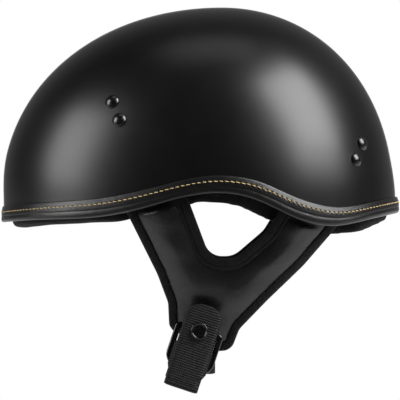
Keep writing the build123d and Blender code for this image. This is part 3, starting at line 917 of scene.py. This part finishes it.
class StageSizes(PropertyGroup):
    """Sizes and light of the stage"""

    distance: measure("Camera distance", 4.0, "From the camera to the middle of the helmet")
    eye_level: measure("Eye level", -0.3 * MM, "Height of the camera above the helmet's origin")
    view_width: measure("View width", 284.2 * MM, "Width of the view at the middle of the helmet")
    floor_level: measure("Floor level", -300.0 * MM, "Height of the floor")
    backdrop: tint("Backdrop", (1.0, 1.0, 1.0), "Colour of the floor and the backdrop")


class HelmetSettings(PropertyGroup):
    """All the helmet's settings"""

    shell: PointerProperty(type=ShellSizes, name="Shell", description="Shell")
    trim: PointerProperty(type=TrimSizes, name="Trim", description="Edge trim")
    panel: PointerProperty(type=PanelSizes, name="Panels", description="Side panels")
    strap: PointerProperty(type=StrapSizes, name="Strap", description="Strap and fittings")
    padding: PointerProperty(type=PaddingSizes, name="Padding", description="Padding")
    stage: PointerProperty(type=StageSizes, name="Stage", description="Stage")


class HELMET_OT_shell(Operator):
    """Builds the painted shell and finishes its rivets"""

    bl_idname = "helmet.shell"
    bl_label = "Shell"

    def execute(self, context):
        h = settings()
        dome = Dome(h.shell)
        paint = satin_paint("shell_paint", h.shell.paint, h.shell.roughness)
        finished(self.shell(dome, paint), "shell", "shell_paint", "outer_shell")
        dress(["rivet_washers"], brushed_metal("washer_steel", h.strap.steel))
        self.rivets(dome, black_metal("rivet_black", h.strap.metal, 0.2))
        return {"FINISHED"}

    def skin(self, dome, inset):
        """One face of the shell's wall, in rows from the rim to just below the crown."""
        s = dome.sizes
        angle = np.linspace(0, math.tau, SHELL_POINTS, endpoint=False)
        low = dome.over_rim(angle, s.edge_rise, inset)[:, 2]
        rows = [
            dome.at_level(angle, low + (SKIRT_TOP - low) * share, inset)
            for share in np.linspace(0, 1, SKIRT_ROWS, endpoint=False)
        ]
        shares = np.linspace(0, 1, len(dome.up))
        start = np.interp((SKIRT_TOP - s.widest_level) / (s.crown_height - inset), dome.up, shares)
        for share in np.linspace(start, 0.996, CROWN_ROWS):
            across, up = np.interp(share, shares, dome.across), np.interp(share, shares, dome.up)
            level = s.widest_level + up * (s.crown_height - inset)
            rows.append(dome.point(angle, across, level, inset))
        return np.array(rows)

    def shell(self, dome, paint):
        """Two skins closed at the crown and joined along the rim."""
        s = dome.sizes
        insets = (0.0, s.wall)
        skins = [self.skin(dome, inset) for inset in insets]
        rows, columns = skins[0].shape[:2]
        count = rows * columns
        points = [skin.reshape(-1, 3) for skin in skins]
        faces = grid_faces(rows, columns) + grid_faces(rows, columns, count)
        for k, inset in enumerate(insets):
            points.append([[s.crown_setback, 0, s.widest_level + s.crown_height - inset]])
            ring = np.arange(columns) + (k + 1) * count - columns
            faces += [[a, b, 2 * count + k] for a, b in zip(ring, np.roll(ring, -1))]
        edge = np.arange(columns)
        faces += [[a, b, b + count, a + count] for a, b in zip(edge, np.roll(edge, -1))]
        return outward(mesh_object("painted_shell", np.concatenate(points), faces, paint))

    def rivets(self, dome, black):
        """The domed heads of the rivets, square to the shell."""
        turns = np.linspace(0, math.tau, 48, endpoint=False)[:, None]
        parts = []
        for x, z in metres(RIVETS):
            here, along, up = (
                dome.side(*place, 0.0) for place in ((x, z), (x + MM, z), (x, z + MM))
            )
            along = (along - here) / np.linalg.norm(along - here)
            normal = np.cross(along, up - here)
            normal /= np.linalg.norm(normal)
            round_about = np.cos(turns) * along + np.sin(turns) * np.cross(normal, along)
            head = np.array([here + radius * round_about + out * normal
                             for radius, out in metres(RIVET_SECTION)])
            for side in SIDES:
                parts.append(grid_object(f"rivet_{len(parts)}", on_side(side, head), black))
        finished(joined("domed_rivets", parts), "shell", "rivet_black", "shell_rivets")


class HELMET_OT_trim(Operator):
    """Builds the folded leatherette trim and its row of stitches"""

    bl_idname = "helmet.trim"
    bl_label = "Edge trim"

    def execute(self, context):
        h = settings()
        t = h.trim
        self.dome = Dome(h.shell)
        angle = np.linspace(0, math.tau, TRIM_POINTS, endpoint=False)
        seam = self.on_seam(angle, 0, 0)
        along = lengths(seam[:, None], 0)[:, 0]
        whole = along[-1] + np.linalg.norm(seam[0] - seam[-1])
        count = round(whole / t.stitch_pitch)
        pitch = whole / count
        section = metres(TRIM_SECTION)
        out = np.repeat(section[None, :, 0], len(angle), axis=0)
        for row in GROOVE_ROWS:
            out[:, row] -= GROOVE_DEPTH * np.cos(along / pitch * math.tau)
        rise = self.lifted(angle[:, None], section[None, :, 1])
        out = np.where(out > 0, out * self.bulge(angle)[:, None], out)
        points = self.dome.over_rim(angle[:, None], rise, -out)
        ease = waves(points, 45 * MM, 3) * 0.14 * MM
        points = self.dome.over_rim(angle[:, None], rise, -(out + ease))
        leather = leatherette("trim_leather", t.leather, 0.27, 0.7 * MM, 0.02 * MM)
        trim = grid_object("leather_edge_trim", points, leather, ring=True)
        finished(trim, "shell", "trim_leather", "edge_trim")
        self.stitches(t, np.append(along, whole), np.append(angle, math.tau), count, pitch)
        return {"FINISHED"}

    def bulge(self, angle):
        """The trim stands out less at the brow and more at the nape."""
        return 0.9 + 0.2 * np.cos(angle)

    def lifted(self, angle, rise):
        """The height of a part of the section, stretched to where the stitches run."""
        extra = stitch_rise(self.dome.over_rim(angle, 0, 0)[..., 0]) - STITCH_RISE
        return rise + extra * np.minimum(rise / STITCH_RISE, 1)

    def on_seam(self, angle, up, out):
        """A point near the row of stitches, up from it and out from it."""
        rise = self.lifted(angle, STITCH_RISE) + up
        return self.dome.over_rim(angle, rise, -(STITCH_OUT * self.bulge(angle) + out))

    def stitches(self, t, along, turns, count, pitch):
        """Raised stitches with their ends sunk in the leather, each a little aslant."""
        rng = np.random.default_rng(11)
        shares = np.linspace(-1, 1, 9)
        round_about = np.linspace(0, math.tau, 8, endpoint=False)
        girth = np.sqrt(np.maximum(1 - np.abs(shares) ** 2.6, 0.02))[:, None]
        lift = (STITCH_LIFT - STITCH_SINK * np.abs(shares) ** 3)[:, None]
        points, faces, uv = [], [], []
        for k in range(count):
            here = (k + 0.5) * pitch + shares * t.stitch_length / 2
            turn = np.interp(here % along[-1], along, turns)[:, None]
            drop = (-shares * rng.uniform(0.1, 0.2) * t.stitch_length / 2)[:, None]
            across = np.cos(round_about) * girth * t.stitch_width / 2
            over = np.sin(round_about) * girth * t.stitch_width * 0.42
            grid = self.on_seam(turn, drop + across, lift + over)
            rows, columns = grid.shape[:2]
            faces += tube_faces(rows, columns, len(points))
            points.extend(grid.reshape(-1, 3))
            uv += [(j * 0.1 * MM, place + j * 0.1 * MM) for place in here for j in range(columns)]
        thread = sewing_thread("trim_thread", t.thread)
        stitches = outward(mesh_object("trim_stitches", points, faces, thread, uv))
        finished(stitches, "shell", "trim_leather")


class HELMET_OT_padding(Operator):
    """Builds the comfort padding and finishes the impact liner"""

    bl_idname = "helmet.padding"
    bl_label = "Liner and padding"

    def execute(self, context):
        p = settings().padding
        dress(["impact_liner"], bead_foam("liner_foam", p.foam))
        knit = knit_fabric("comfort_knit", p.knit)
        for name, node in (
            ("brow_cushion", "brow_roll"), ("nape_cushion", "nape_roll"),
            ("left_ear_cushion", "left_ear_pad"), ("right_ear_cushion", "right_ear_pad"),
            ("crown_cushion", "crown_pad"),
        ):
            cushion = self.cushion(name, node, p, knit)
            finished(cushion, "shell", "comfort_knit", node)
        return {"FINISHED"}

    def cushion(self, name, node, p, knit):
        """A pad swollen by a cloth simulation from its remeshed solid, drawn in first."""
        if node in ROLLS:
            piece = self.roll(name, knit, *ROLLS[node])
        else:
            piece = self.pad(name, node)
        remesh = piece.modifiers.new("remesh", "REMESH")
        remesh.mode, remesh.voxel_size = "VOXEL", p.voxel
        drawn = self.drawn_in(settled(piece).data)
        self.swell(piece, drawn, p.swell)
        smoother = piece.modifiers.new("smooth", "SUBSURF")
        smoother.levels = smoother.render_levels = 1
        mesh = settled(piece).data
        mesh.materials.clear()
        mesh.materials.append(knit)
        mesh.polygons.foreach_set("material_index", [0] * len(mesh.polygons))
        mesh.polygons.foreach_set("use_smooth", [True] * len(mesh.polygons))
        return piece

    def pad(self, name, node):
        """A copy of a pad's solid, with the lower edge of an ear pad let down."""
        piece = bpy.data.objects.new(name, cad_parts[node].data.copy())
        bpy.context.scene.collection.objects.link(piece)
        if "ear" in node:
            for vertex in piece.data.vertices:
                x, _, z = vertex.co
                drop = EAR_DROP + EAR_REAR_DROP * smooth((x - EAR_REAR_FROM) / EAR_REAR_OVER)
                vertex.co.z -= drop * smooth((rim_level(x) + EAR_FIXED - z) / (2 * EAR_FIXED))
        return piece

    def drawn_in(self, mesh):
        """Evens out a remeshed pad and draws it in a little."""
        even = np.array([v.co for v in mesh.vertices])
        normal = np.array([v.normal for v in mesh.vertices])
        edges = np.array([e.vertices[:] for e in mesh.edges])
        count = np.bincount(edges.ravel(), minlength=len(even))[:, None]
        for _ in range(6):
            total = np.zeros_like(even)
            np.add.at(total, edges[:, 0], even[edges[:, 1]])
            np.add.at(total, edges[:, 1], even[edges[:, 0]])
            even = even * 0.4 + total / count * 0.6
        drawn = even - normal * 0.5 * MM
        mesh.vertices.foreach_set("co", drawn.ravel())
        mesh.update()
        return drawn

    def swell(self, piece, drawn, most):
        """Inflates a pad, and holds each point to the most that it may move."""
        cloth = piece.modifiers.new("swell", "CLOTH")
        cloth.settings.quality = 5
        cloth.settings.use_pressure = True
        cloth.settings.uniform_pressure_force = 4.0
        cloth.settings.tension_stiffness = cloth.settings.compression_stiffness = 40.0
        cloth.settings.effector_weights.gravity = 0
        scene = bpy.context.scene
        for number in range(1, 21):
            scene.frame_set(number)
        mesh = settled(piece).data
        scene.frame_set(1)
        move = np.array([v.co for v in mesh.vertices]) - drawn
        far = np.linalg.norm(move, axis=1)[:, None]
        move *= np.minimum(1, most / np.maximum(far, 1e-9))
        mesh.vertices.foreach_set("co", (drawn + move).ravel())
        mesh.update()

    def roll(self, name, knit, middle, half_turn, drawn_in, line):
        """A roll inside the rim, with its ends passing behind the side panels."""
        dome = Dome(settings().shell)
        share = np.linspace(-1, 1, 121)[:, None]
        turn = middle + share * half_turn
        x = dome.over_rim(turn, 0, 12 * MM)[..., 0]
        start, end = metres(drawn_in)
        outer = ROLL_OUTER + (ROLL_BEHIND - ROLL_OUTER) * smooth((x - start) / (end - start))
        low = RIM_LOW_LEVEL + RIM_WAVE * np.interp(x / RIM_HALF_LENGTH, *np.array(line).T)
        high = rim_level(x) + ROLL_TOP
        around = np.linspace(0, math.tau, 32, endpoint=False)
        wide, tall = (np.sign(w) * np.abs(w) ** 0.35 for w in (np.cos(around), np.sin(around)))
        close = np.sqrt(np.maximum(1 - np.maximum(np.abs(share) * 12 - 11, 0) ** 2, 0.04))
        inset = (outer + ROLL_INNER) / 2 + wide * close * (ROLL_INNER - outer) / 2
        level = (low + high) / 2 + tall * close * (high - low) / 2
        points = dome.at_level(turn, level, inset)
        return grid_object(name, points, knit)


class HELMET_OT_panels(Operator):
    """Builds the padded side panels with their bindings, linings and inner webbing"""

    bl_idname = "helmet.panels"
    bl_label = "Side panels"

    def execute(self, context):
        h = settings()
        p = h.panel
        self.funnel = Funnel(h.shell, p)
        self.finishes = {
            "leather": leatherette("panel_leather", p.leather, 0.25, 0.8 * MM, 0.02 * MM),
            "knit": knit_fabric("binding_knit", p.knit, 1.2 * MM, 0.3 * MM),
            "lining": knit_fabric("lining_knit", p.knit),
            "webbing": woven_webbing("panel_webbing", h.strap.webbing, h.strap.rib),
        }
        edge, window = (
            self.tucked(rounded(metres(points), metres(radii), 1.0 * MM), PANEL_TUCK, 1.0 * MM)
            for points, radii in ((PANEL_OUTLINE, PANEL_RADII), (WINDOW_OUTLINE, WINDOW_RADII))
        )
        cloth = self.cloth(edge, window)
        for side in SIDES:
            body = f"{side}_side"
            for name, line, turn, section, node in (
                ("edge_binding", edge, 1, EDGE_SECTION, "outer_binding"),
                ("window_binding", window, -1, WINDOW_SECTION, "window_binding"),
            ):
                piece = self.binding(f"{side}_{name}_knit", line, turn, metres(section), side)
                finished(piece, body, "binding_knit", f"{side}_{node}")
            leather = self.cover("panel_leather", side, cloth, "leather", 1.3 * MM, -p.crown)
            finished(leather, body, "panel_leather", f"{side}_panel_face",
                     f"{side}_panel_padding")
            lining = self.cover("panel_knit_lining", side, cloth, "lining", p.lining_depth,
                                p.lining_depth + 1.0 * MM)
            finished(lining, body, "comfort_knit", f"{side}_panel_lining")
            finished(self.webbing(side), body, "webbing", f"{side}_strap_web")
        return {"FINISHED"}

    def tucked(self, line, tuck, step):
        """The part of a line that lies below a height over the rim, behind the trim."""
        return spaced(line[line[:, 1] < rim_level(line[:, 0]) + tuck], step)

    def binding(self, name, line, turn, section, side):
        """A knit strip folded round an edge."""
        rows = []
        for inward, depth in section:
            moved = beside(line, turn * inward)
            rows.append(self.funnel.point(moved[:, 0], moved[:, 1], depth))
        points = np.array(rows).transpose(1, 0, 2)
        ripple = waves(points, 14 * MM, 5)[..., None] * 0.12 * MM
        points = points + ripple * np.array([0, 1, 0])
        closed = np.concatenate([points, points[:, :1] * 0.5 + points[:, -1:] * 0.5], axis=1)
        return grid_object(name, on_side(side, closed), self.finishes["knit"])

    def cloth(self, edge, window):
        """The Y-shaped cloth between the bindings, laid flat: its points, its faces, and a
        share for each point of how far padding can lift it."""
        outer, inner = (
            self.tucked(beside(line, inset), PANEL_TUCK - 0.5 * MM, COVER_STEP)
            for line, inset in ((edge, COVER_INSET), (window, -COVER_WINDOW_INSET))
        )
        front, rear = self.arm_top(inner[0], outer[0]), self.arm_top(outer[-1], inner[-1])
        flat, faces = filled(np.concatenate([outer, rear, inner[::-1], front]))
        sewn = np.concatenate([outer, inner])
        near = np.linalg.norm(flat[:, None] - sewn[None], axis=2).min(axis=1)
        return flat, faces, 1 - np.exp(-((near / COVER_SWELL) ** 1.3))

    def arm_top(self, a, b):
        """The hidden upper edge of an arm, beside the rim from one side to the other."""
        x = np.linspace(a[0], b[0], max(3, round(abs(b[0] - a[0]) / COVER_STEP)))[1:-1]
        share = (x - a[0]) / (b[0] - a[0])
        lift = a[1] - rim_level(a[0]) + share * (b[1] - rim_level(b[0]) - a[1] + rim_level(a[0]))
        return np.stack([x, rim_level(x) + lift], axis=1)

    def cover(self, name, side, cloth, finish, rest, crown):
        """A skin of the panel between its bindings, crowned by the padding under it."""
        flat, faces, swell = cloth
        x, z = flat.T
        proud = crown * (1 - 0.4 * smooth((-70 * MM - z) / (14 * MM)))
        depth = rest + (proud - rest) * swell
        points = self.funnel.point(x, z, depth)
        dents = sum(waves(points, size, seed) * deep for size, seed, deep in PANEL_DENTS)
        under = 1 - smooth((rim_level(x) - z) / PANEL_DIP_REACH)
        depth = depth + (dents + PANEL_DIP * under * (proud < rest)) * swell
        points = on_side(side, self.funnel.point(x, z, depth))
        piece = mesh_object(f"{side}_{name}", points, faces, self.finishes[finish], flat)
        thick = piece.modifiers.new("leaf", "SOLIDIFY")
        thick.thickness, thick.offset = COVER_LEAF, 0.0
        return settled(piece)

    def webbing(self, side):
        """The two legs of webbing inside a panel, and their tail below the foot."""
        foot = metres(PANEL_WEB_FOOT)
        ends = [(foot, top) for top in metres(PANEL_WEB_TOPS)]
        ends.append((foot - (0, PANEL_WEB_TAILS[side]), foot))
        parts = []
        for number, (low, high) in enumerate(ends):
            leg = spaced(np.array([low, high]), 1.5 * MM)
            leg = leg[leg[:, 1] < rim_level(leg[:, 0]) + PANEL_TUCK]
            ring = band(leg, 9.0 * MM, 13, self.funnel.point, 1.5 * MM, 2.7 * MM)
            parts.append(grid_object(f"{side}_leg_{number}", on_side(side, ring),
                                     self.finishes["webbing"]))
        return joined(f"{side}_panel_webbing", parts)


class HELMET_OT_straps(Operator):
    """Builds the webbing inside the shell, the anchor, the chin strap and the snap tab"""

    bl_idname = "helmet.straps"
    bl_label = "Straps"

    def execute(self, context):
        h = settings()
        s = h.strap
        webbing = woven_webbing("webbing", s.webbing, s.rib)
        self.shell_straps(Dome(h.shell), webbing)
        hook_widths = [(-32 * MM, s.tail_width / 2), (-28 * MM, s.ring_width / 2)]
        anchor, hook, chin = (
            flat_strap(name, rounded(metres(points), metres(radii), 0.2 * MM), laid, half, s,
                       webbing)
            for name, points, radii, laid, half in (
                ("anchor_webbing", ANCHOR_PATH, ANCHOR_RADII, edge_on, [(0, s.anchor_width / 2)]),
                ("hook", HOOK_PATH, HOOK_RADII, edge_on, hook_widths),
                ("chin", CHIN_PATH, CHIN_RADII, under_chin, [(0, s.width / 2)]),
            )
        )
        finished(anchor, "chin_strap", "webbing", "anchor_loop")
        finished(joined("chin_webbing", [chin, hook]), "chin_strap", "webbing", "chin_strap")
        self.tab(s, webbing)
        return {"FINISHED"}

    def shell_straps(self, dome, webbing):
        """Four straps between shell and liner, from the rivets down to the rim."""
        for end, places in SHELL_WEBS.items():
            bottom, top = metres(places)
            far = top + (top - bottom) / np.linalg.norm(top - bottom) * SHELL_WEB_PAST
            line = spaced(np.array([bottom, far]), 1.5 * MM)
            line = line[line[:, 1] > rim_level(line[:, 0]) + SHELL_WEB_RISE]
            ring = band(line, 10 * MM, 15, dome.side, 4.75 * MM, 6.05 * MM)
            for side in SIDES:
                piece = grid_object(f"{end}_{side}_webbing", on_side(side, ring), webbing)
                finished(piece, "shell", "webbing", f"{end}_{side}_strap")

    def tab(self, s, webbing):
        """The strap's folded end: straight sides, a rounded tip and a notch at its foot."""
        half = s.tab_width / 2 / MM
        radius = (half**2 + (TAB_TIP - TAB_SHOULDER) ** 2) / (2 * (TAB_TIP - TAB_SHOULDER))
        straight = np.arange(TAB_CREASE, TAB_SHOULDER, 0.22)
        up = np.append(straight, np.linspace(TAB_SHOULDER, TAB_TIP - 0.02, 60))
        tip = np.sqrt(np.maximum(radius**2 - (up - TAB_TIP + radius) ** 2, 0))
        left = np.where(up > TAB_SHOULDER, np.minimum(tip, half), half)
        notch = np.clip(up - TAB_NOTCH_LEVEL, 0, TAB_NOTCH) - TAB_NOTCH
        right = left + np.where(up < 0, notch, 0)
        line = np.stack([np.full(len(up), TAB_BACK * MM + s.thickness / 2), up * MM], axis=1)
        centre, side, normal = edge_on(line, np.repeat([[1.0, 0.0]], len(up), axis=0))
        tab = ribbon("tab_webbing", centre, side, normal, left * MM, right * MM, s, webbing)
        finished(tab, "snap_tab", "webbing", "snap_tab")


class HELMET_OT_fittings(Operator):
    """Finishes the D-rings and the snap"""

    bl_idname = "helmet.fittings"
    bl_label = "Rings and snap"

    def execute(self, context):
        s = settings().strap
        gloss = black_metal("ring_black", s.metal, 0.16)
        dress(["d_ring_front", "d_ring_rear"], gloss)
        self.cap(black_metal("snap_black", s.metal, 0.16))
        dress(["snap_socket", "snap_stud"], brushed_metal("snap_steel", s.steel))
        return {"FINISHED"}

    def cap(self, black):
        """The snap's cap, dished inside a raised rim."""
        turns = np.linspace(0, math.tau, 64, endpoint=False)[:, None]
        rows = [at_buckle(TAB_BACK * MM + rise, radius * np.sin(turns), radius * np.cos(turns))
                for radius, rise in metres(CAP_SECTION)]
        cap = grid_object("dished_snap_cap", np.array(rows), black)
        finished(cap, "snap_tab", "snap_black", "snap_cap")


class HELMET_OT_stage(Operator):
    """Sets up the camera, the lamps, the floor and the backdrop"""

    bl_idname = "helmet.stage"
    bl_label = "Stage"

    def execute(self, context):
        g = settings().stage
        scene = bpy.context.scene
        scene.view_settings.view_transform = "Standard"
        self.camera(g, scene)
        for lamp in LAMPS:
            self.softbox(scene, *lamp)
        self.floor(g)
        self.backdrop(g, scene)
        return {"FINISHED"}

    def camera(self, g, scene):
        """A level camera far off, as wide as the helmet and a narrow margin."""
        lens = bpy.data.cameras.new("camera")
        lens.sensor_width = 36.0
        lens.lens = lens.sensor_width * g.distance / g.view_width
        camera = bpy.data.objects.new("camera", lens)
        camera.location = (0, -g.distance, g.eye_level)
        camera.rotation_euler = (math.pi / 2, 0, 0)
        scene.collection.objects.link(camera)
        scene.camera = camera

    def softbox(self, scene, name, azimuth, height, away, wide, high, power):
        """A lamp that faces the helmet, turned from the camera's side and raised."""
        lamp = bpy.data.lights.new(name, "AREA")
        lamp.shape, lamp.size, lamp.size_y, lamp.energy = "RECTANGLE", wide, high, power
        a, e = math.radians(azimuth), math.radians(height)
        place = Vector((math.sin(a) * math.cos(e), -math.cos(a) * math.cos(e), math.sin(e)))
        stand = bpy.data.objects.new(name, lamp)
        stand.location = place * away
        stand.rotation_euler = place.to_track_quat("Z", "Y").to_euler()
        scene.collection.objects.link(stand)

    def floor(self, g):
        """A floor that keeps the helmet's shadow close by and is plain white further off. In
        reflections it is white below the helmet, and ahead of it a painted shade dims its glow."""
        f = Finish("floor", Roughness=0.9)
        f.give(Base_Color=(0.8, 0.8, 0.8, 1))
        lit = Value(f, f.shader.outputs[0])
        away = f.add("ShaderNodeVectorMath", {"operation": "LENGTH"}, {0: f.place()}, "Value")
        in_mirrors = f.ray("Glossy")
        # Painted shade: in reflections the floor's glow is dimmed ahead of the helmet
        ahead = 0 - f.part(f.place(), "Y")
        shade = in_mirrors * (1 - f.ramp(ahead, (0.2, 1), (0.42, 0.05)))
        glow = f.add("ShaderNodeEmission", {}, {"Color": (*g.backdrop, 1), "Strength": 1 - shade})
        fading = f.ramp(away * 0.5, (0.25, 0.8), (0.8, 1))
        share = f.ray("Camera", "Transmission") * fading + in_mirrors * 0.95
        f.blend(share, lit, glow, "Material Output")
        turns = np.linspace(0, math.tau, 96, endpoint=False)
        points = [(FLOOR_RADIUS * math.cos(a), FLOOR_RADIUS * math.sin(a), g.floor_level)
                  for a in turns]
        mesh_object("floor", points, [range(len(points))], f.material)

    def backdrop(self, g, scene):
        """A white backdrop behind the helmet, and a dim room on its other sides."""
        scene.world = bpy.data.worlds.new("room")
        t = Tree(scene.world)
        around = t.add("ShaderNodeTexCoord", {}, {}, "Generated")
        behind = t.part(around, "Y")
        level = t.ramp(behind, *ROOM_LIGHT)
        room = t.add("ShaderNodeBackground", {}, {"Color": (1, 1, 1, 1), "Strength": level})
        shown = t.add("ShaderNodeBackground", {}, {"Color": (*g.backdrop, 1), "Strength": 1.0})
        straight = t.ramp(behind, (0.96, 0), (0.98, 1))
        seen = t.ray("Camera", "Transmission").larger(t.ray("Glossy") * straight)
        t.blend(seen, room, shown, "World Output")


class HELMET_PT_sidebar(Panel):
    """Lists the helmet's pieces and their settings"""

    bl_idname = "HELMET_PT_sidebar"
    bl_label = "Half Shell Helmet"
    bl_space_type = "VIEW_3D"
    bl_region_type = "UI"
    bl_category = "Helmet"

    def draw(self, context):
        helmet = context.scene.helmet
        for operator, group in PIECES:
            box = self.layout.box()
            box.operator(f"helmet.{operator}")
            sizes = getattr(helmet, group)
            for name in sizes.__annotations__:
                box.prop(sizes, name)


PIECES = (
    ("stage", "stage"), ("shell", "shell"), ("trim", "trim"), ("padding", "padding"),
    ("panels", "panel"), ("straps", "strap"), ("fittings", "strap"),
)
CLASSES = (
    ShellSizes, TrimSizes, PanelSizes, StrapSizes, PaddingSizes, StageSizes, HelmetSettings,
    HELMET_OT_shell, HELMET_OT_trim, HELMET_OT_padding, HELMET_OT_panels, HELMET_OT_straps,
    HELMET_OT_fittings, HELMET_OT_stage, HELMET_PT_sidebar,
)


def register():
    """Registers the helmet's settings, operators and panel."""
    for cls in CLASSES:
        bpy.utils.register_class(cls)
    bpy.types.Scene.helmet = PointerProperty(type=HelmetSettings)


def unregister():
    """Takes away what register added."""
    del bpy.types.Scene.helmet
    for cls in reversed(CLASSES):
        bpy.utils.unregister_class(cls)


def main():
    """Builds the helmet and its stage."""
    register()
    for operator, _ in PIECES:
        getattr(bpy.ops.helmet, operator)()


if __name__ == "__main__":
    main()
